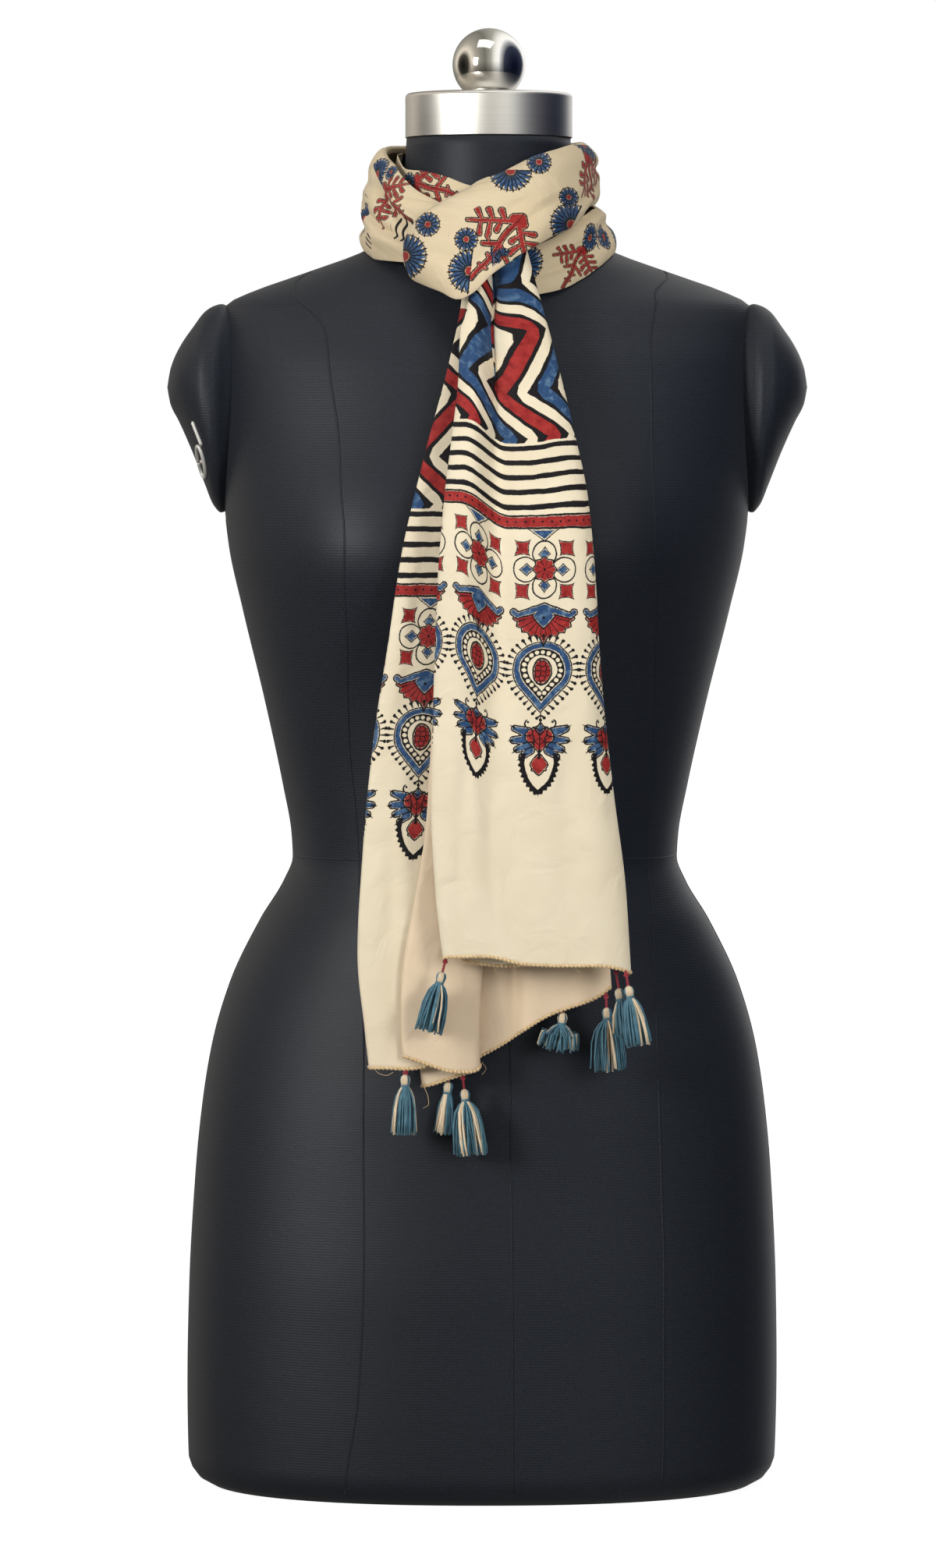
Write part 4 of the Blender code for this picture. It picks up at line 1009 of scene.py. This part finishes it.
frontMotifs = [Motif(*row) for row in [
    ("spray", 2.6, 60, -38, 1, True), ("spray", 60, 31, 6, 0.95), ("fan", 9.5, 6, 178, 1.1, True),
    ("fan", 68, 4, 172, 1.05), ("fan", 32, 55.5, 62, 1.1, True), ("fan", -30, 18, -80, 1.15, True),
    ("fan", -5, 69.5, 84, 1.1, True), ("fan", 4, 69, 45, 0.55, True), ("flower", 22.2, 13, 0, 1.1, True),
    ("flower", 32.4, 38, 20, 0.9, True), ("flower", -21.2, 22.6, 0, 1.1, True),
    ("flower", -7, 48.6, 10, 1.05, True), ("flower", 96, 14, 0, 1), ("fan", 112, 32, -60, 1),
    ("spray", 122, 6, 170, 0.8),
]]
underMotifs = [Motif(*row) for row in [
    ("fan", 15, 8.5, -88, 1.1), ("spray", 38.5, 25, -26, 0.58, True), ("flower", 51.5, 15, 0, 1.25),
    ("flower", 64, 19, 0, 1.25), ("fan", 84, 24, 30, 1), ("spray", 106, 16, 120, 0.8),
]]


def motifPlaces(turn, points, place, motifs, kind):
    # each point's millimetres from the nearest motif of a kind, in that motif's own directions
    best = np.full(turn.shape + (3,), 99.0)
    heading = 1.0 if turn[-1, 0] > turn[0, 0] else -1.0
    for motif in motifs:
        if motif.kind != kind:
            continue
        row = np.abs(turn[:, 0] - motif.turn).argmin()
        column = np.abs(place[row, :, 1] - motif.down).argmin()
        along = (place[..., 0] - place[row, :, 0][None, :]) * heading
        up = place[:, column, 1][:, None] - place[..., 1] + place[row, column, 1] - motif.down
        if motif.flat:
            along = points[..., 0] - points[row, column, 0]
            farRound = np.abs(turn - motif.turn) > 50
            up = points[..., 2] - points[row, column, 2] + np.where(farRound, 99.0, 0.0)
        spin = math.radians(motif.spin)
        x = (along * math.cos(spin) + up * math.sin(spin)) / motif.size
        y = (up * math.cos(spin) - along * math.sin(spin)) / motif.size
        reach = np.hypot(x, y)
        nearer = reach < best[..., 2]
        best[nearer] = np.stack([x, y, reach], axis=-1)[nearer]
    return best


def buildBand(name, node, rows, folds, motifs, look, flat):
    first, last = rows[0].turn, rows[-1].turn
    turns = np.linspace(first, last, int(abs(last - first) / cloth["turnStep"]) + 2)
    share, turn = np.meshgrid(acrossShares(cloth["faceSteps"]), turns)
    points = bandPoints(rows, folds, turn, share)
    place = clothPlace(points)
    attributes = {"clothPlace": place}
    for kind in ("spray", "fan", "flower", "bars"):
        attributes[kind] = motifPlaces(turn, points, place, motifs, kind)
    return addShell(name, points, look, [node], attributes, cloth["thickness"], flat)


def clothPlace(points):
    # millimetres along and across the cloth, from one corner
    along = np.concatenate([np.zeros((1, points.shape[1])),
                            np.cumsum(np.linalg.norm(np.diff(points, axis=0), axis=2), axis=0)])
    across = np.concatenate([np.zeros((points.shape[0], 1)),
                             np.cumsum(np.linalg.norm(np.diff(points, axis=1), axis=2), axis=1)], axis=1)
    return np.stack([along, across, np.zeros_like(along)], axis=-1)


# The two tails

Outline = namedtuple("Outline", "height left right")
frontOutline = [Outline(*row) for row in [
    (706, -8, 22), (678, -9, 29.5), (658, -13.8, 35), (630, -15, 42), (600, -18.4, 49), (566, -22.6, 55.8),
    (520, -26.2, 60), (480, -27.8, 62.3), (440, -29, 65.8), (400, -30, 70.5), (353, -27.8, 76.6),
    (304, -22.5, 79.8),
]]
rearOutline = [Outline(*row) for row in [
    (706, -10, 19), (674, -13.5, 26), (638, -21, 33), (588, -34.3, 42), (534, -46.8, 50), (486, -54.1, 54),
    (432, -62.4, 58), (371, -68.4, 63), (313, -71.5, 68.5), (269, -67.4, 71), (238, -64, 71),
]]
# how far in front of the neck's axis the rear tail's back hangs, and how full the folds are there
Hang = namedtuple("Hang", "height back fullness")
hang = [Hang(*row) for row in [
    (706, 77.9, 0.56), (676, 78.6, 0.61), (660, 82.5, 0.67), (640, 91, 0.74), (620, 99, 0.81),
    (600, 107.5, 0.88), (570, 118.5, 0.95), (540, 125.5, 1), (500, 127, 1), (430, 125, 1), (350, 122, 1),
    (238, 119, 1),
]]
# lines that run down each tail, in their order across the cloth: across is 0 at the tail's left
# outline and 1 at its right and turns into acrossHem near the hem, and layer is the depth behind
# the tail's front face
Line = namedtuple("Line", "cloth across acrossHem layer hem")
frontLines = [Line(*row) for row in [
    (0, 0.01, 0.01, 8, 313), (6, 0.000, 0.000, 3.2, 313), (14, 0.06, 0.06, 0.4, 313.6),
    (32, 0.23, 0.23, 0, 313.8), (54, 0.44, 0.44, 0.4, 309.5), (76, 0.65, 0.65, 0, 308.6),
    (94, 0.83, 0.83, 0.9, 308.6), (106, 0.945, 0.945, 4, 306.5), (114, 1.000, 1.000, 9, 304.2),
    (120, 0.985, 0.985, 13.5, 305), (131, 0.89, 0.89, 15.6, 307.5), (160, 0.6, 0.6, 14.4, 308.5),
    (188, 0.32, 0.32, 13.8, 307.6), (205, 0.15, 0.15, 14, 309.5), (211, 0.105, 0.105, 16.4, 311),
    (216, 0.15, 0.15, 18.8, 311), (236, 0.35, 0.35, 19.6, 310), (266, 0.65, 0.65, 19.4, 311),
    (290, 0.9, 0.9, 19, 311),
]]
rearLines = [Line(*row) for row in [
    (0, 0.4, 0.33, 10.4, 256), (26, 0.22, 0.2, 10.5, 254), (50, 0.055, 0.055, 10.6, 251),
    (57, 0.005, 0.005, 9, 250), (61, 0.01, 0.01, 7, 249.5), (70, 0.08, 0.075, 6, 249.5),
    (88, 0.2, 0.15, 6.2, 249), (104, 0.33, 0.225, 6.3, 250), (108, 0.352, 0.242, 4.9, 251.5),
    (112, 0.33, 0.225, 3.4, 253), (119, 0.29, 0.18, 3.1, 255), (124, 0.27, 0.148, 1.6, 256.5),
    (129, 0.29, 0.165, 0.1, 256), (147, 0.38, 0.27, 0, 251), (157, 0.445, 0.345, 0.6, 248),
    (169, 0.53, 0.41, 3.6, 247.5), (178, 0.59, 0.45, 7, 249), (182, 0.6, 0.457, 9.6, 251),
    (187, 0.58, 0.44, 12.6, 248.5), (201, 0.46, 0.33, 13.8, 243), (213, 0.375, 0.235, 14.3, 239),
    (218, 0.35, 0.212, 15.9, 238.5), (223, 0.375, 0.235, 17.6, 240), (262, 0.62, 0.54, 17.3, 261),
    (288, 0.77, 0.74, 16.6, 278), (312, 0.94, 0.93, 16.8, 287.5), (322, 1.000, 1.000, 17.4, 294),
]]
tails = {"top": 706.0, "frontDepth": 19.6, "rearDepth": 17.6, "wall": 1.2, "apart": 0.5, "pullFrom": 400.0,
         "pullTo": 255.0, "lineStep": 1.6, "rows": 200}

# Soft troughs (and ridges, where the depth is negative) down a tail's front face: the heights it
# runs between, where across the face it lies at each, how deep it is and how wide
Trough = namedtuple("Trough", "top bottom acrossTop acrossBottom depth spread")
frontTroughs = [Trough(*row) for row in [
    (706, 312, 0.36, 0.41, 9, 0.08), (706, 585, 0.365, 0.345, 9, 0.024), (706, 330, 0.15, 0.17, -4.6, 0.08),
    (706, 560, 0.8, 0.88, 1.6, 0.07), (600, 420, 0.66, 0.74, 1.8, 0.09), (470, 312, 0.42, 0.52, -1.8, 0.07),
    (440, 320, 0.78, 0.68, 1.5, 0.05), (452, 316, 0.22, 0.1, 1.7, 0.035), (420, 312, 0.33, 0.27, 1.2, 0.03),
    (500, 330, 0.93, 0.88, -1.4, 0.05),
]]
rearTroughs = [Trough(*row) for row in [
    (560, 262, 0.14, 0.09, 1.6, 0.035), (380, 250, 0.3, 0.33, -1.6, 0.05),
    (500, 300, 0.24, 0.2, -1.2, 0.04), (420, 240, 0.1, 0.07, -1.4, 0.03),
]]
# the same on the layer behind, where it shows under the front tail
innerTroughs = [Trough(*row) for row in [
    (360, 240, 0.635, 0.6, 6, 0.02), (360, 250, 0.7, 0.68, -3, 0.04), (350, 262, 0.86, 0.83, 2.6, 0.03),
    (340, 240, 0.52, 0.5, -1.6, 0.03),
]]


def troughDepth(troughs, across, height):
    total = np.zeros_like(across)
    for trough in troughs:
        share = (trough.top - height) / (trough.top - trough.bottom)
        middle = trough.acrossTop + (trough.acrossBottom - trough.acrossTop) * np.clip(share, 0, 1)
        fade = np.cos(math.pi / 2 * np.clip(share, 0.0, 1.0)) ** 0.9
        if trough.top < tails["top"]:
            fade = fade * smoothStep(share * 3.0)
        total += np.where(share >= 0, trough.depth * fade * bell(across - middle, trough.spread), 0.0)
    return total


def tailPoints(lines, outline, troughs, inner, faceDepth, ahead, columns, rows):
    at, down = np.meshgrid(columns, rows)
    height = tails["top"] + (readRows(lines, "hem", at) - tails["top"]) * down
    pulled = smoothStep((tails["pullFrom"] - height) / (tails["pullFrom"] - tails["pullTo"]))
    across = readRows(lines, "across", at) * (1 - pulled) + readRows(lines, "acrossHem", at) * pulled
    layer = readRows(lines, "layer", at)
    left, right = readRows(outline, "left", height), readRows(outline, "right", height)
    reach = np.clip((faceDepth - layer) / 2.0, 0.0, 1.0)
    layer = layer + reach * troughDepth(troughs, across, height)
    layer = layer + smoothStep((at - 226.0) / 14.0) * troughDepth(inner, across, height)
    fullness = readRows(hang, "fullness", height)
    front = readRows(hang, "back", height) + ahead(fullness)
    return np.stack([left + (right - left) * across, -(front - layer * fullness), height], axis=-1)


def rearAhead(fullness):
    return tails["rearDepth"] * fullness


def frontAhead(fullness):
    return (tails["rearDepth"] + tails["frontDepth"]) * fullness + tails["wall"] + tails["apart"]


# How the print lies on a tail: at each height, how far up the cloth that is from the hem, and where
# the middle column of motifs stands
Anchor = namedtuple("Anchor", "height up x")
frontAnchors = [Anchor(*row) for row in [
    (304, -5, 25.4), (426, 117, 29.1), (525, 216, 32.1), (540, 231, 32.2), (560, 251.5, 30.5),
    (600, 295.2, 25.5), (624, 322.3, 24), (650, 352, 17), (678, 382.8, 5.8), (706, 413, -4),
]]
rearAnchors = [Anchor(*row) for row in [
    (238, -32.5, -49.7), (540, 269.5, -28.2), (600, 333.7, -24), (706, 451.5, -16.5),
]]
# the front tail was pulled up along its left ridge, a strip of its print is tucked into the groove near
# the knot, and its print runs denser where the cloth turns away
printPull = {"left": 15.0, "leftFrom": 0.10, "leftTo": 0.45, "right": 3.5, "groove": 0.36,
             "grooveFrom": 630.0, "grooveTo": 668.0, "tuckLeft": 2.5, "tuckRight": 9.0}
Density = namedtuple("Density", "across by")
printDensity = [Density(*row) for row in [
    (0, 1.05), (0.12, 1.1), (0.2, 1.35), (0.3, 1.35), (0.38, 1.1), (0.45, 0.98), (0.55, 0.96), (0.78, 0.94),
    (0.88, 1), (0.95, 1.2), (1, 1.2),
]]


def tailPlace(points, outline, anchors, faceFrom, faceTo, columns, pull):
    height, x = points[..., 2], points[..., 0]
    left, right = readRows(outline, "left", height), readRows(outline, "right", height)
    share = (x - left) / (right - left)
    front = columns < faceTo + 6.0
    step = np.linalg.norm(np.diff(points, axis=1), axis=2)
    v = readRows(anchors, "up", height)
    if pull:
        density = np.where(front, readRows(printDensity, "by", share), 1.0)
        step = step * (density[:, 1:] + density[:, :-1]) / 2
        nearLeft = 1 - smoothStep((share - pull["leftFrom"]) / (pull["leftTo"] - pull["leftFrom"]))
        lift = pull["left"] * nearLeft
        lift += pull["right"] * smoothStep((share - 0.55) / 0.4) * smoothStep((height - 540.0) / 40.0)
        v = v - np.where(front, lift, 0.0)
    across = np.concatenate([np.zeros((len(points), 1)), np.cumsum(step, axis=1)], axis=1)
    onFace = (columns >= faceFrom) & (columns <= faceTo)
    target = readRows(anchors, "x", height[:, 0])
    zero = np.array([np.interp(t, row, arc)
                     for t, row, arc in zip(target, x[:, onFace], across[:, onFace])])
    across = across - zero[:, None]
    turnedAndShaded = np.zeros_like(v)
    if pull:
        tucked = smoothStep((height - pull["grooveFrom"]) / (pull["grooveTo"] - pull["grooveFrom"])) * front
        right = share - pull["groove"]
        tuck = np.where(right > 0, pull["tuckRight"] * (1 - smoothStep(right / 0.4)), -pull["tuckLeft"])
        across += tucked * tuck
    else:
        # the plain inner folds and the reverse, which the print doesn't reach
        turnedAndShaded = np.where(columns > 106.0, smoothStep((500.0 - height) / 20.0), 0.0)
        # painted shade: low on the whole rear tail, behind and below the front tail, the ground darkens
        # towards the reverse's tan, up to 0.4 of the way at its hem
        turnedAndShaded = np.maximum(turnedAndShaded, 0.4 * smoothStep((340.0 - height) / 90.0))
    return np.stack([across, v, turnedAndShaded], axis=-1)


hemming = {"pitch": 2.3, "radius": 0.55, "bulge": 0.6, "thread": 0.14}
frontThreads = [
    [(47.7, -155.0, 307.5), (51.0, -157.5, 305.5), (52.6, -158.0, 302.4), (50.2, -156.5, 300.6)],
    [(7.4, -155.5, 308.6), (5.0, -158.0, 306.4), (6.4, -158.4, 303.8)],
]
rearThreads = [
    [(-35.4, -124.0, 241.0), (-32.0, -126.0, 233.0), (-31.6, -126.5, 229.0), (-34.8, -126.0, 226.6)],
    [(-61.8, -128.5, 249.0), (-59.0, -130.0, 246.4), (-55.0, -130.0, 245.4), (-51.4, -129.0, 247.0)],
    [(-2.0, -121.0, 252.0), (0.2, -123.0, 248.4), (-2.2, -123.0, 245.0)],
]


def buildHem(name, edge, threads, look):
    # a golden thread whipped over the cut edge, and a few loose ends
    bundle = Bundle()
    lengths = np.concatenate([[0.0], np.cumsum(np.linalg.norm(np.diff(edge, axis=0), axis=1))])
    at = np.arange(0.0, lengths[-1], 0.32)
    path = np.stack([np.interp(at, lengths, edge[:, k]) for k in range(3)], axis=-1)
    stitch = np.abs(np.sin(math.pi * at / hemming["pitch"]))
    radii = hemming["radius"] + hemming["bulge"] * stitch
    path[:, 2] += 0.25 - 0.2 * stitch
    bundle.tube(path, radii, 7)
    for thread in threads:
        bundle.tube(spline(thread, 24), hemming["thread"], 5)
    return bundle.make(name, [look])


# how each tail is made: the face is the stretch of cloth that its print is centred on
tailPlans = {
    "stoleFrontTail": {
        "node": "stole_front_tail", "lines": frontLines, "outline": frontOutline, "troughs": frontTroughs,
        "inner": [], "faceDepth": 6.0, "ahead": frontAhead, "anchors": frontAnchors, "face": (20.0, 110.0),
        "pull": printPull, "threads": frontThreads, "flat": (290.0, 390.0)},
    "stoleRearTail": {
        "node": "stole_rear_tail", "lines": rearLines, "outline": rearOutline, "troughs": rearTroughs,
        "inner": innerTroughs, "faceDepth": 9.0, "ahead": rearAhead, "anchors": rearAnchors,
        "face": (57.0, 104.0), "pull": None, "threads": rearThreads, "flat": (300.0, 430.0)},
}


def buildTail(name, plan, clothMade, edging):
    width = plan["lines"][-1].cloth
    columns = np.linspace(0.0, width, int(width / tails["lineStep"]) + 1)
    rows = np.linspace(0.0, 1.0, tails["rows"])

    def shaped(troughs, inner):
        return tailPoints(plan["lines"], plan["outline"], troughs, inner, plan["faceDepth"], plan["ahead"],
                          columns, rows)

    points = shaped(plan["troughs"], plan["inner"])
    place = tailPlace(shaped([], []), plan["outline"], plan["anchors"], *plan["face"], columns,
                      plan["pull"])
    hem = buildHem(name + "Hem", points[-1], plan["threads"], edging)
    return addShell(name, points, clothMade, [plan["node"]], {"clothPlace": place}, cloth["thickness"],
                    plan["flat"])


# Tassels

# creams are the bundles of cream strands, by the angle from the front in degrees and their half width
Tassel = namedtuple("Tassel", "name x y z footX footY footZ cord spread creams")
tassels = [Tassel(*row) for row in [
    ("tassel_front_left", -22, -155.4, 312.4, -32.1, -152, 272.6, 8, 7.4, [(22, 9), (150, 20)]),
    ("tassel_front_right", 77, -155.2, 304.9, 83.8, -156, 264.8, 8, 7, [(42, 14), (190, 20)]),
    ("tassel_front_inner", 71.7, -146, 305.7, 77, -144, 269.8, 11, 6, [(-60, 12), (120, 20)]),
    ("tassel_rear_left", -44.5, -130.5, 248.6, -45.7, -130.5, 213, 3, 6.6, [(-62, 14), (100, 20)]),
    ("tassel_rear_middle", -12.8, -123.2, 244.8, -8.1, -124.5, 200.8, 8, 9.6,
     [(-34, 12), (38, 14), (160, 20)]),
    ("tassel_rear_inner", -20.3, -119.3, 244.6, -23.6, -118, 211.9, 4, 5, [(-25, 25), (170, 30)]),
    ("tassel_rear_right", 66.8, -121, 290, 68.8, -121, 247.6, 8, 9.2, [(10, 13), (-150, 24)]),
    ("tassel_rear_behind", 43.5, -118.9, 283, 40.5, -116, 259.5, 4, 11.5, [(72, 16), (-80, 10), (170, 20)]),
]]
yarn = {
    "strands": 92,
    "strandTurn": 2.399963,  # the golden angle spreads them evenly
    "thickness": 0.5,  # a strand's radius
    "headRadius": 2.5,
    "neckRadius": 1.8,
    "cordRadius": 0.42,
    "plyTwist": 2.1,  # radians for each millimetre of cord
    "plyOut": 0.36,
    "overHeadRadius": 0.42,
    "bindingRadius": 0.32,
}


def tasselFrame(row):
    root = np.array([row.x, row.y, row.z])
    drop = np.array([row.footX, row.footY, row.footZ]) - root
    length = np.linalg.norm(drop)
    down = drop / length
    side = np.cross(down, [0.0, 1.0, 0.0])
    side /= np.linalg.norm(side)
    return root, down, side, np.cross(down, side), length


def buildTassel(row, looks):
    root, down, side, back, length = tasselFrame(row)
    chance = random.Random(row.name)
    bundle = Bundle()
    # two plies of the red cord, twisted round each other
    along = np.linspace(-1.0, row.cord + 0.6, 26)
    for ply in (0.0, math.pi):
        angle = along * yarn["plyTwist"] + ply
        twist = np.outer(np.cos(angle), side) + np.outer(np.sin(angle), back)
        path = root + np.outer(along, down) + yarn["plyOut"] * twist
        bundle.tube(path, yarn["cordRadius"], 7, 0)
    # the knot on the hem
    t = np.linspace(0, 2 * math.pi, 40)
    path = (root + down * 1.4 + np.outer((np.sin(t) + 2 * np.sin(2 * t)) * 0.42, side)
            + np.outer((np.cos(t) - 2 * np.cos(2 * t)) * 0.42, down) + np.outer(-np.sin(3 * t) * 0.5, back))
    bundle.tube(path, yarn["cordRadius"], 7, 0)
    # strands run over the head, are bound under it and fall to the foot
    reach = length - row.cord
    stations = np.array([0.0, 1.0, 2.6, 4.2, 5.6, 6.6, 8.5, 12.0, 0.55 * reach, 0.78 * reach, reach])
    head, neck = yarn["headRadius"], yarn["neckRadius"]
    for k in range(yarn["strands"]):
        turn = yarn["strandTurn"] * k + chance.uniform(-0.1, 0.1)
        rho = math.sqrt((k + 0.5) / yarn["strands"])
        wide = row.spread * rho * chance.uniform(0.92, 1.18)
        inset = 0.35 + 0.65 * rho
        flare = np.array([0.3, 0.62, 0.86, 0.97, 1.0]) * (wide - neck * rho) + neck * rho
        overHead = np.array([0.15, 0.8, 1.0, 0.86]) * head
        radii = np.concatenate([overHead, [neck, neck], flare / inset]) * inset
        swirl = turn + stations / reach * chance.uniform(-0.35, 0.35)
        ends = stations.copy()
        ends[-1] += chance.uniform(-1.6, 0.8)
        wave = np.sin(stations * chance.uniform(0.2, 0.35) + turn * 3) * 0.35 * (stations / reach)
        path = (root + np.outer(ends + row.cord, down) + np.outer((radii + wave) * np.cos(swirl), side)
                + np.outer((radii + wave) * np.sin(swirl), back))
        front = math.degrees(math.pi / 2 - turn)
        cream = rho > 0.45 and any(abs((front - at + 180) % 360 - 180) < half for at, half in row.creams)
        bundle.tube(path, yarn["thickness"] * (1.15 if cream else 1.0), 5, 2 if cream else 1)
    # cream strands over the front of the head, then the binding under it
    for turn in np.radians(np.arange(66.0, 128.0, 15.0)):
        radii = np.array([0.5, 0.84, 1.04, 1.0, 0.72]) * head + 0.1
        path = (root + np.outer(np.array([-0.1, 0.9, 2.6, 4.2, 5.5]) + row.cord, down)
                + np.outer(radii * np.cos(turn), side) + np.outer(radii * np.sin(turn), back))
        bundle.tube(path, yarn["overHeadRadius"], 5, 2)
    t = np.linspace(0, 6 * math.pi, 60)
    level = row.cord + 5.4 + t / (6 * math.pi) * 1.4
    path = (root + np.outer(level, down) + np.outer((neck + 0.35) * np.cos(t), side)
            + np.outer((neck + 0.35) * np.sin(t), back))
    bundle.tube(path, yarn["bindingRadius"], 6, 1)
    return bundle.make(row.name + "_yarn", looks, [row.name])


# Metal parts

metal = {"capRadius": 47.6, "capBottom": neckTop + 0.35, "capHeight": 25.5, "capEdge": 2.5,
         "ballRadius": 20.7, "ballFoot": 13.0}


def turnedPiece(name, profile, steps, look, node, centreX):
    angles = np.arange(steps) * 2 * math.pi / steps
    points = np.array([[(centreX + radius * math.cos(angle), radius * math.sin(angle), z)
                        for angle in angles] for radius, z in profile])
    faces = gridFaces(len(profile), steps, closed=True)[:, ::-1].tolist()
    faces.append(list(range(steps)))
    faces.append([(len(profile) - 1) * steps + k for k in range(steps)][::-1])
    piece = addPiece(name, points, faces, look, [node])
    piece.data.set_sharp_from_angle(angle=math.radians(40))
    return piece


def buildMetal(steel, chrome):
    radius, bottom, edge = metal["capRadius"], metal["capBottom"], metal["capEdge"]
    top = bottom + metal["capHeight"]
    turns = np.radians(np.linspace(90, 0, 9))
    profile = [(radius - edge + edge * math.cos(t), top - edge + edge * math.sin(t)) for t in turns]
    profile += [(radius, bottom + 0.5), (radius - 0.5, bottom)]
    turnedPiece("neckCap", profile, 160, steel, "form_neck_cap", lean(top))
    radius, foot = metal["ballRadius"], top + 0.35
    rise = math.sqrt(radius**2 - metal["ballFoot"] ** 2)
    low = -math.atan(rise / metal["ballFoot"])
    turns = np.linspace(math.radians(89.0), low, 60)
    profile = [(radius * math.cos(t), foot + rise + radius * math.sin(t)) for t in turns]
    turnedPiece("finialBall", profile, 96, chrome, "form_finial", lean(top))


def buildAll():
    addCamera()
    addStudio()
    print("camera and studio ready")
    jersey = jerseyLook()
    buildTorso(jersey)
    buildPad("formPadLeft", -1, jersey, "form_shoulder_left")
    buildPad("formPadRight", 1, jersey, "form_shoulder_right")
    buildSeams(jersey)
    buildFittings(steelLook("satinSteel", "#D2D2D2", 0.7, 0.0, 30.0),
                  steelLook("tarnishedBrass", "#6E5540", 0.6, 0.0, 30.0))
    buildMetal(steelLook("brushedStainlessSteel", "#C9C5BD", 0.3, 0.15),
               steelLook("polishedChrome", "#C4C3BF", 0.07, 0.0))
    print("dress form built")
    field = clothLook("blockPrintedModalField", True)
    bands = [
        ("stoleWrap", "stole_wrap", wrapRows, wrapFolds, wrapMotifs, (260.0, 66.0)),
        ("stoleInnerCollar", "stole_inner_collar", collarRows, [], collarMotifs, (105.0, 36.0)),
        ("stoleFrontBand", "stole_front_band", frontRows, frontFolds, frontMotifs, (200.0, 62.0)),
        ("stoleUnderBand", "stole_under_band", underRows, underFolds, underMotifs, (165.0, 32.0)),
    ]
    for name, node, rows, folds, motifs, flat in bands:
        buildBand(name, node, rows, folds, motifs, field, flat)
    border = clothLook("blockPrintedModalBorder", False)
    edging = yarnLook("goldenEdgingThread", "#BE9C6C", "#E2C89C")
    for name, plan in tailPlans.items():
        buildTail(name, plan, border, edging)
    print("stole built")
    yarns = [yarnLook("twistedRedCotton", "#7C1824", "#A3303A"),
             yarnLook("tealCottonYarn", "#21485A", "#5D8C9C"),
             yarnLook("creamCottonYarn", "#CBB391", "#E6D5B8")]
    for row in tassels:
        buildTassel(row, yarns)
    print("tassels built")


buildAll()
